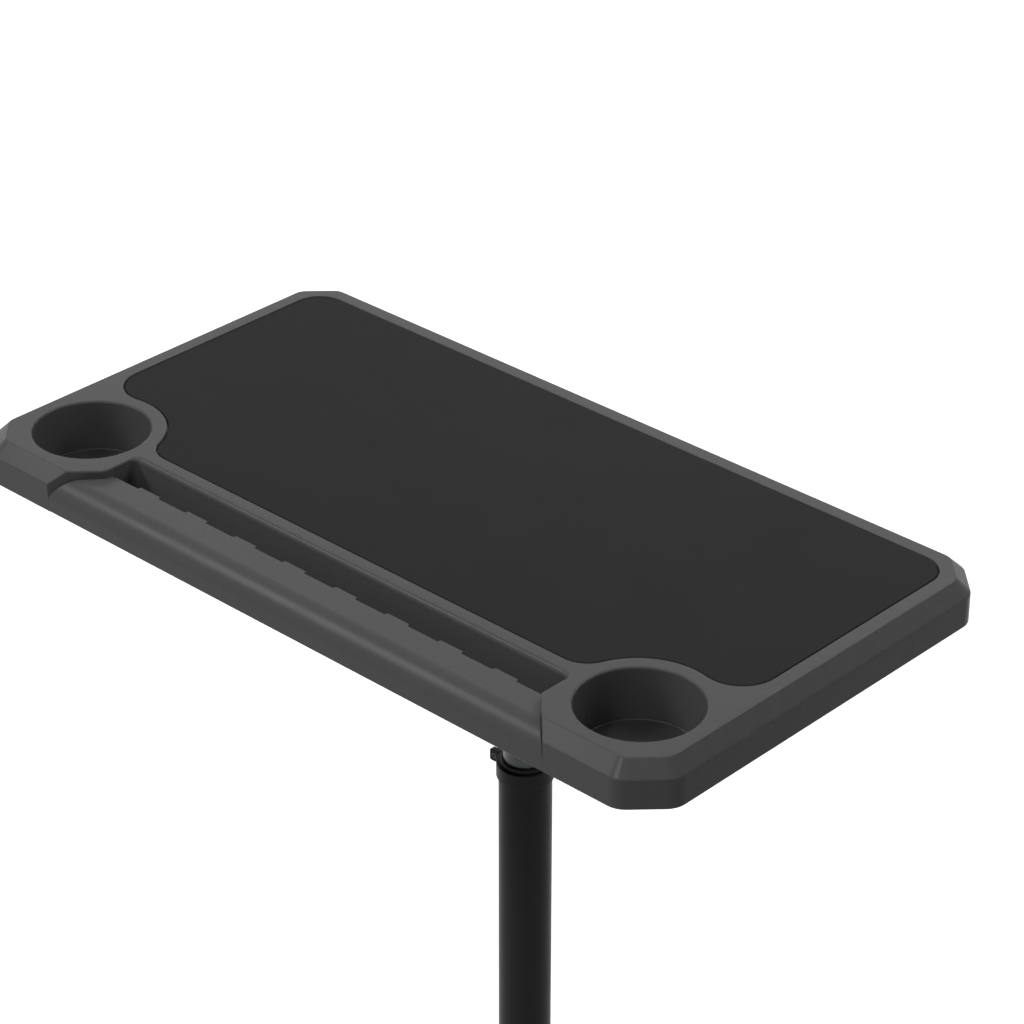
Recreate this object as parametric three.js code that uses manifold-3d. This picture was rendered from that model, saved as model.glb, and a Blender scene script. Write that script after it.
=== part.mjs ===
// Height-adjustable desk for an indoor bike trainer: a moulded top with two cup wells, a device slot, a front
// roll and a rubber work mat, on a telescopic post with a cam clamp, over a base on four casters.
// Millimetres, +Z up. The origin lies on the floor, on the axis of the post. The user is on the -Y side.
import * as THREE from 'three';
import { mergeVertices } from 'three/addons/utils/BufferGeometryUtils.js';
import Module from 'manifold-3d';

const wasm = await Module();
wasm.setup();

// General fits
const seatGap = 0.3; // between pieces that touch or are fastened together
const runningGap = 0.35; // between pieces that turn or slide on each other
const overrun = 5; // how far a cutting tool runs past what it cuts
const weldDistance = 0.001;

// Desktop outline, heights counted down from the rim plane
const rimHeight = 1000; // rim above the floor at rest
const postSetback = 60; // post axis behind the middle of the desktop
const deskWidth = 618;
const deskDepth = 334;
const deskThickness = 30.3;
const rimBevelWidth = 9.8;
const rimBevelDrop = 9.5;
const cornerCut = 20; // leg of the 45 degree corner on the rim plane
const skirtWall = 3;
const deckThickness = 4;
const ribThickness = 2.6;
const ribsEachSide = 4;

// Work mat
const matMargin = 21; // from the sides and the rear of the desktop
const matFrontMargin = 67; // from the front of the desktop
const matThickness = 2;
const matCornerRadius = 20;
const matGap = 1; // visible gap round the mat
const matInnerBlend = 12; // blend from the front edge into the arc round a cup
const matOuterBlend = 25; // blend from the arc round a cup into the side edge
const matRecess = matThickness + 2 * seatGap;

// Cup wells
const cupSideMargin = 60.5; // from the axis of a cup to the side of the desktop
const cupFrontMargin = 60; // from the axis of a cup to the front of the desktop
const cupRadius = 40.2;
const cupFloorRadius = 39;
const cupDepth = 36;
const cupWall = 2.4;
const cupLip = 1.2;
const cupRingWidth = 11.8; // rim left between a cup and the mat
const padThickness = 2;
const padMargin = 1.5;

// Device slot and front roll
const slotRearMargin = 54.3; // from the front of the desktop to the rear wall of the slot
const slotCupDistance = 51; // from the end of the slot to the axis of a cup
const slotDepth = 27;
const slotWall = 2.5;
const slotEdge = 1.5;
const lipMargin = 37; // from the front of the desktop to the slot, at the tabs of the lip
const lipDrop = 6; // top of the roll below the rim
const lipThickness = 3;
const notchDepth = 2.4;
const notchWidth = 26.8;
const notchPitch = 46.3;
const notchesEachSide = 4;
const endCutMargin = 27.8; // from the front of the desktop to where the roll's ends turn to 45 degrees
const rollNose = 17; // how far the roll curves forwards past its flat top
const rollShoulderDrop = 15;
const rollWall = 3;
const rollHookDepth = 15;

// Places on the desktop that follow from these margins
const frontY = -deskDepth / 2;
const matHalfWidth = deskWidth / 2 - matMargin;
const matBackY = deskDepth / 2 - matMargin;
const matFrontY = frontY + matFrontMargin;
const cupX = deskWidth / 2 - cupSideMargin;
const cupY = frontY + cupFrontMargin;
const slotBackY = frontY + slotRearMargin;
const slotHalfLength = cupX - slotCupDistance;
const lipEdgeY = frontY + lipMargin;
const slotFrontY = lipEdgeY - notchDepth;
const endCutY = frontY + endCutMargin;
const rollFlatEndY = frontY + rollNose;

// Steel plate and tube socket under the top
const plateWidth = 150;
const plateDepth = 104;
const plateThickness = 4;
const plateScrewX = 62;
const plateScrewY = 40;
const bossRadius = 8;
const screwRadius = 2.8;
const screwHeadRadius = 5.6;
const screwHeadHeight = 3.2;
const screwBite = 14;
const socketLength = 49;
const socketWall = 3.8;
const socketFlangeRadius = 38;
const socketFlangeThickness = 4;
const setScrewRadius = 3;
const setScrewHeadRadius = 7;
const setScrewHeadLength = 9;

// Telescopic post
const innerTubeRadius = 15.9;
const innerTubeWall = 1.5;
const travelDown = 150; // how far the desktop can come down from its height at rest
const travelStop = 10.5; // between the glide and the foot of the outer tube at the lowest height
const outerTubeRadius = 19.05;
const outerTubeWall = 1.5;
const clampDrop = 238.3; // from the rim down to the top of the outer tube
const outerTubeSlit = 3;
const outerTubeSlitLength = 42;
const bushLength = 48;
const bushFlangeRadius = 18.2;
const bushFlangeHeight = 3.4;
const glideHeight = 22;
const glidePlugLength = 20;
const edgeBreak = 0.8;

// Clamp collar and cam lever
const collarHeight = 15.6;
const collarWall = 1.4;
const collarTaper = 4.4;
const earReach = 29.3; // from the post axis
const earHeight = 9.4;
const earThickness = 4.4;
const earGap = 3;
const studX = -25.2;
const studRadius = 2.5;
const camRadius = 7.5;
const camWasherThickness = 1.6;
const camWasherHalf = 5;
const barrelRadius = 3.5;
const leverHeight = 11;
const leverThickness = 6;
const leverReach = 64; // from the cam pin to the tip
const leverClearance = 2.6; // from the collar to the closed lever
const leverRootShare = 0.8;
const camForkShare = 0.6;

// Base frame
const legSpacing = 500; // between the centres of the two legs
const legLength = 550;
const legWidth = 40;
const legHeight = 30;
const tubeWall = 2;
const crossbarDepth = 60;
const crossbarEndPlate = 4;
const capThickness = 3;
const capPlugLength = 14;
const baseBoltRadius = 4;
const baseBoltHeadRadius = 6.8;
const baseBoltHeadHeight = 5;
const legBoltSpread = 32;
const baseBoltBite = 10; // past the wall that a bolt threads into
const hubPlateWidth = 132;
const hubPlateThickness = 5;
const hubHeight = 84;
const hubWall = 3.2;
const hubBoltX = 54;
const hubBoltY = 20;
const gussetThickness = 4;
const gussetReach = 22;
const gussetHeight = 50;
const hubScrewHeight = 60;
const hubScrewReach = 9;

// Casters
const stemInset = 30; // from the end of a leg
const wheelRadius = 37.5;
const tyreWidth = 22;
const tyreThickness = 9;
const tyreShoulder = 4;
const wheelHubHalf = 12.2;
const wheelHubRadius = 12;
const wheelRimHalf = 9;
const wheelWebHalf = 4;
const wheelRimWall = 3.5;
const axleRadius = 4;
const axleHeadRadius = 7;
const axleHeadHeight = 3.4;
const casterTrail = 20;
const forkGap = 2.8; // wheel to the plate above it
const forkThickness = 2.6;
const forkPlateHalf = 16;
const forkCupHeight = 7.2;
const forkEyeRadius = 12;
const raceRadius = 15;
const raceHeight = 4;
const nutRadius = 9;
const nutHeight = 3.8;
const stemRadius = 5;
const stemLength = 24;
const rivetRadius = 4;
const rivetHeadRadius = 7;
const rivetHeadHeight = 3.4;
const pedalPivotY = 26;
const pedalPivotRise = 5; // above the underside of the fork plate
const pedalPinRadius = 3;
const pedalEarRadius = 6;
const pedalLength = 31;
const pedalThickness = 6;
const pedalDroop = 8; // tip below the pivot
const pedalLugReach = 14;
const pedalLugDrop = 9.2;
const pedalLugLength = 5;

// How finely round things are cut
const largeSteps = 40;
const tubeSteps = 32;
const wheelSteps = 20;
const tyreSteps = 32;
const smallSteps = 12;
const arcSteps = 6;

// Finishes
const finish = (color, roughness, metalness) => (
  new THREE.MeshStandardMaterial({ color, roughness, metalness })
);
const mouldedPlastic = finish('#5a5b5c', 0.55, 0);
const rollSkin = finish('#58595a', 0.6, 0);
const matRubber = finish('#323232', 0.8, 0);
const padRubber = finish('#2b2b2b', 0.85, 0);
const darkPlastic = finish('#1b1c1c', 0.5, 0);
const powderCoat = finish('#242424', 0.45, 0.2);
const tubeSteel = finish('#4a4f4e', 0.35, 0.8);
const zincSteel = finish('#8c8e90', 0.35, 0.9);
const blackSteel = finish('#1f1f20', 0.4, 0.7);
const wheelPlastic = finish('#3a3b3c', 0.55, 0);
const tyreRubber = finish('#26282a', 0.75, 0);

// A closed geometry as a solid that can be joined and cut; triangles that collapse at a pole are dropped.
function solid(geometry) {
  const bare = geometry.clone();
  bare.deleteAttribute('normal');
  bare.deleteAttribute('uv');
  const merged = mergeVertices(bare, weldDistance);
  const kept = [];
  for (let i = 0; i < merged.index.count; i += 3) {
    const [a, b, c] = [0, 1, 2].map((k) => merged.index.getX(i + k));
    if (a !== b && b !== c && c !== a) kept.push(a, b, c);
  }
  return new wasm.Manifold(new wasm.Mesh({
    numProp: 3,
    vertProperties: merged.attributes.position.array,
    triVerts: new Uint32Array(kept),
  }));
}

// The triangles of a solid as a geometry.
function surface(made) {
  const mesh = made.getMesh();
  const geometry = new THREE.BufferGeometry();
  geometry.setAttribute('position', new THREE.BufferAttribute(new Float32Array(mesh.vertProperties), 3));
  geometry.setIndex(new THREE.BufferAttribute(new Uint32Array(mesh.triVerts), 1));
  const flat = geometry.toNonIndexed();
  flat.computeVertexNormals();
  return flat;
}

const joined = (solids) => solids.reduce((all, next) => all.add(next));
const cut = (body, tools) => tools.reduce((rest, tool) => rest.subtract(tool), body);

// A box given by its lowest and highest corners.
function block([x0, y0, z0], [x1, y1, z1]) {
  const box = new THREE.BoxGeometry(x1 - x0, y1 - y0, z1 - z0);
  return box.translate((x0 + x1) / 2, (y0 + y1) / 2, (z0 + z1) / 2);
}

// A body of revolution about Z, from a profile of [radius, height] points, outer side upwards.
function turned(profile, steps) {
  const points = profile.map(([radius, height]) => new THREE.Vector2(radius, height));
  return new THREE.LatheGeometry(points, steps).rotateX(Math.PI / 2);
}

// A straight round bar along Z.
const rod = (radius, z0, z1, steps = smallSteps) => (
  turned([[0, z0], [radius, z0], [radius, z1], [0, z1]], steps)
);

// A ring or tube along Z.
function pipe(inner, outer, z0, z1, steps = tubeSteps) {
  return turned([[inner, z0], [outer, z0], [outer, z1], [inner, z1], [inner, z0]], steps);
}

// A flat outline of [x, y] points pulled up from z0 to z1.
function prism(outline, z0, z1) {
  const shape = new THREE.Shape(outline.map(([x, y]) => new THREE.Vector2(x, y)));
  return new THREE.ExtrudeGeometry(shape, { depth: z1 - z0, bevelEnabled: false }).translate(0, 0, z0);
}

// An outline of [y, z] points pulled along X from x0 to x1.
const prismAlongX = (outline, x0, x1) => prism(outline, x0, x1).rotateX(Math.PI / 2).rotateZ(Math.PI / 2);

// Turns a body built along Z so that it lies along X or Y.
const layAlongX = (geometry) => geometry.rotateY(Math.PI / 2);
const layAlongY = (geometry) => geometry.rotateX(-Math.PI / 2);

// Closed outlines of equal point count, each at its own height, skinned from the lowest to the highest.
function loft(levels) {
  const count = levels[0].outline.length;
  const position = levels.flatMap(({ outline, z }) => outline.flatMap(([x, y]) => [x, y, z]));
  const index = [];
  for (let level = 0; level + 1 < levels.length; level++) {
    for (let i = 0; i < count; i++) {
      const a = level * count + i;
      const b = level * count + ((i + 1) % count);
      index.push(a, b, b + count, a, b + count, a + count);
    }
  }
  const top = (levels.length - 1) * count;
  const flat = levels[0].outline.map(([x, y]) => new THREE.Vector2(x, y));
  for (const [a, b, c] of THREE.ShapeUtils.triangulateShape(flat, [])) {
    index.push(c, b, a, top + a, top + b, top + c);
  }
  const geometry = new THREE.BufferGeometry();
  geometry.setAttribute('position', new THREE.Float32BufferAttribute(position, 3));
  geometry.setIndex(index);
  return geometry;
}

// Points of an elliptic arc about a centre, from one angle to another in radians.
function arc([cx, cy], radiusX, radiusY, from, to, steps = arcSteps) {
  return Array.from({ length: steps + 1 }, (_, i) => {
    const angle = from + ((to - from) * i) / steps;
    return [cx + radiusX * Math.cos(angle), cy + radiusY * Math.sin(angle)];
  });
}

// A screw or bolt along Z: the shank runs up from z = 0 and the head hangs below it.
function bolt(radius, length, headRadius, headHeight) {
  return turned([
    [0, -headHeight], [headRadius - edgeBreak, -headHeight], [headRadius, edgeBreak - headHeight],
    [headRadius, 0], [radius, 0], [radius, length], [0, length],
  ], smallSteps);
}

// Adds one named sub-part to its group.
function place(group, name, shape, material) {
  const geometry = shape.isBufferGeometry ? shape : surface(shape);
  const mesh = new THREE.Mesh(geometry, material);
  mesh.name = name;
  group.add(mesh);
}

// The outline of the desktop with its four cut corners, drawn in by an inset.
function deskOutline(inset) {
  const x = deskWidth / 2 - inset;
  const y = deskDepth / 2 - inset;
  const leg = cornerCut + (rimBevelWidth - inset) * (2 - Math.SQRT2);
  return [
    [x - leg, -y], [x, leg - y], [x, y - leg], [x - leg, y],
    [leg - x, y], [-x, y - leg], [-x, leg - y], [leg - x, -y],
  ];
}

// The outline of the mat, grown outwards by an amount: round rear corners, and arcs that pass round the cups.
function matOutline(grow) {
  const x = matHalfWidth + grow;
  const corner = matCornerRadius + grow;
  const ring = cupRadius + cupRingWidth;
  const innerY = matFrontY + matInnerBlend;
  const innerX = cupX - Math.sqrt((ring + matInnerBlend) ** 2 - (innerY - cupY) ** 2);
  const outerX = matHalfWidth - matOuterBlend;
  const outerY = cupY + Math.sqrt((ring + matOuterBlend) ** 2 - (cupX - outerX) ** 2);
  const innerAngle = Math.atan2(cupY - innerY, cupX - innerX);
  const outerAngle = Math.atan2(cupY - outerY, cupX - outerX);
  const rear = [x - corner, matBackY + grow - corner];
  const right = [
    ...arc([innerX, innerY], matInnerBlend + grow, matInnerBlend + grow, -Math.PI / 2, innerAngle),
    ...arc([cupX, cupY], ring - grow, ring - grow, innerAngle + Math.PI, outerAngle + Math.PI, 2 * arcSteps),
    ...arc([outerX, outerY], matOuterBlend + grow, matOuterBlend + grow, outerAngle, 0),
    ...arc(rear, corner, corner, 0, Math.PI / 2),
  ];
  return [...right, ...right.map(([px, py]) => [-px, py]).reverse()];
}

// Half length of the roll zone at a distance Y from the middle: straight beside the slot, then 45 degrees.
const rollHalfLength = (y) => slotHalfLength + Math.max(0, endCutY - y);

// The plan of the front roll, drawn in by a gap.
function rollPlan(backY, gap, reach) {
  const front = frontY - reach;
  const turn = [slotHalfLength - gap, endCutY - gap * (Math.SQRT2 - 1)];
  const end = [rollHalfLength(front) - gap * Math.SQRT2, front];
  return [
    [-slotHalfLength + gap, backY], [-turn[0], turn[1]], [-end[0], end[1]],
    end, turn, [slotHalfLength - gap, backY],
  ];
}

// Heights above the floor, up through a caster, a leg and the post
const forkPlateZ = 2 * wheelRadius + forkGap;
const forkTop = forkPlateZ + forkThickness + forkCupHeight;
const legFloorGap = forkTop + seatGap + raceHeight + nutHeight + seatGap;
const legTop = legFloorGap + legHeight;
const hubPlateBottom = legTop + seatGap;
const hubPlateTop = hubPlateBottom + hubPlateThickness;
const outerTubeBottom = hubPlateTop + seatGap;
const outerTubeTop = rimHeight - clampDrop;
const clampZ = outerTubeTop + seatGap - earHeight / 2;

const desktop = new THREE.Group();
desktop.position.set(0, -postSetback, rimHeight);
const stand = new THREE.Group();
const ribBottom = -(deskThickness - plateThickness - seatGap);
const plateBottom = ribBottom - seatGap - plateThickness;
const plateScrews = [-1, 1].flatMap((sx) => (
  [-1, 1].map((sy) => [sx * plateScrewX, postSetback + sy * plateScrewY])
));

// One-piece moulded top: rim, bevel and skirt, ribbed underside, two cups and the slot trough
function makeTray() {
  const deckBottom = -(matRecess + deckThickness);
  const outside = loft([
    { outline: deskOutline(0), z: -deskThickness },
    { outline: deskOutline(0), z: -rimBevelDrop },
    { outline: deskOutline(rimBevelWidth), z: 0 },
  ]);
  const inside = (inset, bottom, top) => solid(loft([
    { outline: deskOutline(inset), z: bottom },
    { outline: deskOutline(inset), z: -rimBevelDrop - inset },
    { outline: deskOutline(inset + rimBevelWidth), z: top },
  ]));
  const hollow = inside(skirtWall, -deskThickness - overrun, deckBottom);
  const ribTop = deckBottom + deckThickness / 2;
  const halfX = deskWidth / 2;
  const backY = deskDepth / 2;
  const trough = slotBackY + slotWall;
  const [nearRow, farRow] = [postSetback - plateScrewY, postSetback + plateScrewY];
  const lengthwise = [(trough + nearRow) / 2, nearRow, postSetback, farRow, (farRow + backY) / 2].map((y) => (
    block([-halfX, y - ribThickness / 2, ribBottom], [halfX, y + ribThickness / 2, ribTop])
  ));
  const ribPlaces = Array.from({ length: 2 * ribsEachSide + 1 }, (_, i) => i - ribsEachSide);
  const crosswise = ribPlaces.filter((place) => place !== 0).map((step) => {
    const [x, half] = [step * plateScrewX, ribThickness / 2];
    return block([x - half, trough - slotWall / 2, ribBottom], [x + half, backY, ribTop]);
  });
  const bosses = plateScrews.map(([x, y]) => rod(bossRadius, ribBottom, ribTop).translate(x, y, 0));
  const cups = [-1, 1].map((side) => turned([
    [0, -cupDepth - cupWall], [cupFloorRadius + cupWall, -cupDepth - cupWall],
    [cupRadius + cupWall, ribTop], [0, ribTop],
  ], largeSteps).translate(side * cupX, cupY, 0));
  const troughWalls = block(
    [-slotHalfLength - slotWall, slotFrontY - slotWall, -deskThickness],
    [slotHalfLength + slotWall, trough, ribTop],
  );
  const endWalls = [-1, 1].map((side) => {
    const inner = [[slotHalfLength, slotFrontY], [slotHalfLength, endCutY], [rollHalfLength(frontY), frontY]];
    const outer = inner.map(([x, y]) => [x + slotWall * Math.SQRT2, y]).reverse();
    const plan = [...inner, ...outer].map(([x, y]) => [side * x, y]);
    return prism(side > 0 ? plan : plan.reverse(), -deskThickness, ribTop);
  });
  const ribs = joined([...lengthwise, ...crosswise].map(solid))
    .intersect(inside(skirtWall / 2, ribBottom, ribTop));
  const body = joined([
    solid(outside).subtract(hollow), ribs, ...[...bosses, ...cups, troughWalls, ...endWalls].map(solid),
  ]);

  const recess = prism(matOutline(matGap), -matRecess, overrun);
  const wells = [-1, 1].map((side) => turned([
    [0, -cupDepth], [cupFloorRadius, -cupDepth], [cupRadius, -cupLip],
    [cupRadius + cupLip, 0], [cupRadius + cupLip, overrun], [0, overrun],
  ], largeSteps).translate(side * cupX, cupY, 0));
  const slot = block([-slotHalfLength, slotFrontY, -slotDepth], [slotHalfLength, slotBackY, overrun]);
  const slotRearEdge = prismAlongX([
    [slotBackY - overrun, -slotEdge], [slotBackY, -slotEdge], [slotBackY + slotEdge, 0],
    [slotBackY + slotEdge, overrun], [slotBackY - overrun, overrun],
  ], -slotHalfLength, slotHalfLength);
  const rollSeat = prism(rollPlan(slotFrontY - slotWall, 0, overrun), -deskThickness - overrun, overrun);
  const lipBottom = -lipDrop - lipThickness - seatGap;
  const lipSeat = prism(rollPlan(slotFrontY + overrun, 0, overrun), lipBottom, overrun);
  const pilots = plateScrews.map(([x, y]) => (
    rod(screwRadius + seatGap, ribBottom - overrun, ribTop - deckThickness / 2).translate(x, y, 0)
  ));
  return cut(body, [recess, ...wells, slot, slotRearEdge, rollSeat, lipSeat, ...pilots].map(solid));
}

// Padded roll along the user's edge: a C section that hooks over the wall of the slot, with a notched lip
function makeRoll() {
  const top = -lipDrop;
  const shoulder = [rollFlatEndY, top - rollShoulderDrop];
  const hookY = slotFrontY - slotWall - seatGap;
  const section = [
    [lipEdgeY, top - edgeBreak], [lipEdgeY - edgeBreak, top],
    ...arc(shoulder, -rollNose, rollShoulderDrop, Math.PI / 2, 0, 2 * arcSteps),
    [frontY, -deskThickness], [frontY + rollWall, -deskThickness],
    ...arc(shoulder, rollWall - rollNose, rollShoulderDrop - rollWall, 0, Math.PI / 2, arcSteps),
    [hookY - rollWall, top - rollWall], [hookY - rollWall, top - rollWall - rollHookDepth],
    [hookY, top - rollWall - rollHookDepth], [hookY, top - lipThickness], [lipEdgeY, top - lipThickness],
  ];
  const half = rollHalfLength(frontY);
  const bar = solid(prismAlongX(section.reverse(), -half, half));
  const plan = prism(rollPlan(slotFrontY + overrun, seatGap, overrun), -deskThickness - overrun, overrun);
  const notches = Array.from({ length: 2 * notchesEachSide + 1 }, (_, i) => {
    const [x, half] = [(i - notchesEachSide) * notchPitch, notchWidth / 2];
    return solid(block([x - half, slotFrontY, -slotDepth], [x + half, slotFrontY + overrun, 0]));
  });
  return cut(bar.intersect(solid(plan)), notches);
}

// Rubber mat, with its edge broken all round
function makeMat() {
  const bottom = seatGap - matRecess;
  return loft([
    { outline: matOutline(0), z: bottom },
    { outline: matOutline(0), z: bottom + matThickness - edgeBreak },
    { outline: matOutline(-edgeBreak), z: bottom + matThickness },
  ]);
}

// Round rubber pad in the bottom of a cup
function makeCupPad() {
  const radius = cupFloorRadius - padMargin;
  const bottom = seatGap - cupDepth;
  const top = bottom + padThickness;
  return turned([
    [0, bottom], [radius, bottom], [radius, top - edgeBreak], [radius - edgeBreak, top], [0, top],
  ], largeSteps);
}

// Steel plate screwed to the ribs
function makeMountingPlate() {
  const plate = solid(block(
    [-plateWidth / 2, postSetback - plateDepth / 2, plateBottom],
    [plateWidth / 2, postSetback + plateDepth / 2, plateBottom + plateThickness],
  ));
  return cut(plate, plateScrews.map(([x, y]) => solid(rod(screwRadius + seatGap, plateBottom - overrun, 0)
    .translate(x, y, 0))));
}

// Socket that takes the inner tube: a flange welded under the plate and a sleeve drilled for its screw
function makeSocket() {
  const bore = innerTubeRadius + seatGap;
  const sleeve = bore + socketWall;
  const flangeBottom = socketTop - socketFlangeThickness;
  const body = solid(turned([
    [bore, socketTop - socketLength], [sleeve, socketTop - socketLength], [sleeve, flangeBottom],
    [socketFlangeRadius, flangeBottom], [socketFlangeRadius, socketTop], [bore, socketTop],
    [bore, socketTop - socketLength],
  ], tubeSteps).translate(0, postSetback, 0));
  const setHole = solid(layAlongY(rod(setScrewRadius + seatGap, 0, sleeve + overrun))
    .translate(0, postSetback, setScrewZ));
  return body.subtract(setHole);
}

const socketTop = plateBottom - seatGap;
const setScrewZ = socketTop - socketLength / 2 - socketFlangeThickness;

place(desktop, 'top_tray', makeTray(), mouldedPlastic);
place(desktop, 'front_roll', makeRoll(), rollSkin);
place(desktop, 'work_mat', makeMat(), matRubber);
for (const [side, name] of [[-1, 'cup_pad_left'], [1, 'cup_pad_right']]) {
  place(desktop, name, makeCupPad().translate(side * cupX, cupY, 0), padRubber);
}
place(desktop, 'mounting_plate', makeMountingPlate(), blackSteel);
plateScrews.forEach(([x, y], i) => {
  const screw = bolt(screwRadius, plateThickness + screwBite, screwHeadRadius, screwHeadHeight);
  place(desktop, `plate_screw_${i + 1}`, screw.translate(x, y, plateBottom - seatGap), zincSteel);
});
place(desktop, 'tube_socket', makeSocket(), powderCoat);
const socketScrew = bolt(setScrewRadius, socketWall + seatGap, setScrewHeadRadius, setScrewHeadLength);
const socketFace = postSetback + innerTubeRadius + seatGap + socketWall;
place(desktop, 'socket_set_screw', layAlongY(socketScrew.rotateX(Math.PI))
  .translate(0, socketFace + seatGap, setScrewZ), darkPlastic);

// The inner tube and the glide in its lower end, in the desktop's group because they rise with it
const innerTubeTop = socketTop - seatGap;
const innerTubeBottom = outerTubeBottom + travelStop + travelDown + glideHeight - rimHeight;
const innerTubeBore = innerTubeRadius - innerTubeWall;
place(desktop, 'inner_tube', pipe(innerTubeBore, innerTubeRadius, innerTubeBottom, innerTubeTop)
  .translate(0, postSetback, 0), tubeSteel);
place(desktop, 'inner_tube_glide', turned([
  [0, innerTubeBottom - glideHeight],
  [outerTubeRadius - outerTubeWall - runningGap - edgeBreak, innerTubeBottom - glideHeight],
  [outerTubeRadius - outerTubeWall - runningGap, innerTubeBottom - glideHeight + edgeBreak],
  [outerTubeRadius - outerTubeWall - runningGap, innerTubeBottom - seatGap],
  [innerTubeBore - seatGap, innerTubeBottom - seatGap],
  [innerTubeBore - seatGap, innerTubeBottom + glidePlugLength],
  [0, innerTubeBottom + glidePlugLength],
], tubeSteps).translate(0, postSetback, 0), darkPlastic);

// Outer tube, slit at its top so that the clamp can squeeze it
const slit = block(
  [-outerTubeRadius - overrun, -outerTubeSlit / 2, outerTubeTop - outerTubeSlitLength],
  [0, outerTubeSlit / 2, outerTubeTop + overrun],
);
place(stand, 'outer_tube', solid(
  pipe(outerTubeRadius - outerTubeWall, outerTubeRadius, outerTubeBottom, outerTubeTop),
).subtract(solid(slit)), powderCoat);

// Plastic bush: a sleeve between the two tubes, with a flange on the end of the outer one
const bushBore = innerTubeRadius + runningGap;
const bushSeat = outerTubeTop + seatGap;
const bushSleeve = outerTubeRadius - outerTubeWall - seatGap;
place(stand, 'guide_bush', turned([
  [bushBore, bushSeat - bushLength], [bushSleeve, bushSeat - bushLength], [bushSleeve, bushSeat],
  [bushFlangeRadius, bushSeat], [bushFlangeRadius, bushSeat + bushFlangeHeight - edgeBreak],
  [bushFlangeRadius - edgeBreak, bushSeat + bushFlangeHeight], [bushBore, bushSeat + bushFlangeHeight],
  [bushBore, bushSeat - bushLength],
], tubeSteps), darkPlastic);

// Split collar with two ears, drawn together by the stud
function makeCollar() {
  const bore = outerTubeRadius + seatGap;
  const outer = bore + collarWall;
  const top = outerTubeTop + seatGap;
  const bottom = top - collarHeight;
  const ring = turned([
    [bore, bottom], [bore + collarWall / 3, bottom], [outer, bottom + collarTaper],
    [outer, top - edgeBreak / 2], [outer - edgeBreak / 2, top], [bore, top], [bore, bottom],
  ], tubeSteps);
  const ears = block(
    [-earReach, -earGap / 2 - earThickness, top - earHeight],
    [-outerTubeRadius, earGap / 2 + earThickness, top],
  );
  const core = rod(bore, bottom - overrun, top + overrun, tubeSteps);
  const split = block([-earReach - overrun, -earGap / 2, bottom - overrun], [0, earGap / 2, top + overrun]);
  const hole = layAlongY(rod(studRadius + seatGap, -earReach, earReach)).translate(studX, 0, clampZ);
  return cut(solid(ring).add(solid(ears)), [core, split, hole].map(solid));
}
place(stand, 'clamp_collar', makeCollar(), powderCoat);

// Cam clamp: stud, barrel, washer and lever; the lever turns on the barrel
const earFace = earGap / 2 + earThickness;
const washerFace = earFace + seatGap + camWasherThickness;
const camY = washerFace + runningGap + camRadius;
place(stand, 'clamp_stud', layAlongY(rod(studRadius, -earFace, camY - barrelRadius - seatGap))
  .translate(studX, 0, clampZ), zincSteel);
place(stand, 'lever_barrel', rod(barrelRadius, clampZ - leverHeight / 2, clampZ + leverHeight / 2)
  .translate(studX, camY, 0), zincSteel);
place(stand, 'cam_washer', solid(block(
  [studX - camWasherHalf, earFace + seatGap, clampZ - camWasherHalf],
  [studX + camWasherHalf, washerFace, clampZ + camWasherHalf],
)).subtract(solid(layAlongY(rod(studRadius + seatGap, 0, camY)).translate(studX, 0, clampZ))), darkPlastic);

function makeLever() {
  const collarOuter = outerTubeRadius + seatGap + collarWall;
  const insideY = collarOuter + leverClearance;
  const [low, high] = [clampZ - leverHeight / 2, clampZ + leverHeight / 2];
  const tipX = studX + leverReach;
  const rootX = studX + camRadius * leverRootShare;
  const plan = [
    [rootX, camY + barrelRadius], [-collarOuter / 2, insideY],
    [collarOuter / 2, insideY + leverThickness / 4], [tipX, insideY - leverThickness / 2],
    [tipX, insideY + leverThickness / 3],
    [collarOuter / 2, insideY + leverThickness], [-collarOuter / 2, insideY + leverThickness],
    [studX, camY + camRadius],
  ];
  const cheeks = rod(camRadius, low, high, 2 * smallSteps).translate(studX, camY, 0);
  const eye = rod(barrelRadius + runningGap, low - overrun, high + overrun).translate(studX, camY, 0);
  const forkHalf = studRadius + runningGap;
  const fork = block(
    [studX - camRadius - overrun, camY - camRadius - overrun, clampZ - forkHalf],
    [studX + camRadius * camForkShare, camY + camRadius * camForkShare, clampZ + forkHalf],
  );
  return cut(solid(cheeks).add(solid(prism(plan, low, high))), [eye, fork].map(solid));
}
place(stand, 'clamp_lever', makeLever(), darkPlastic);

// Base socket: a plate on the crossbar with a round hub that takes the outer tube, and a gusset on each side
const hubBore = outerTubeRadius + seatGap;
const hubOuter = hubBore + hubWall;
const hubTop = hubPlateTop + hubHeight;
const hubScrewZ = hubPlateTop + hubScrewHeight;
const hubBolts = [-1, 1].flatMap((sx) => [-1, 1].map((sy) => [sx * hubBoltX, sy * hubBoltY]));
const hubBoltHoles = hubBolts.map(([x, y]) => (
  solid(rod(baseBoltRadius + seatGap, legFloorGap + tubeWall + seatGap, hubTop).translate(x, y, 0))
));

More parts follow.
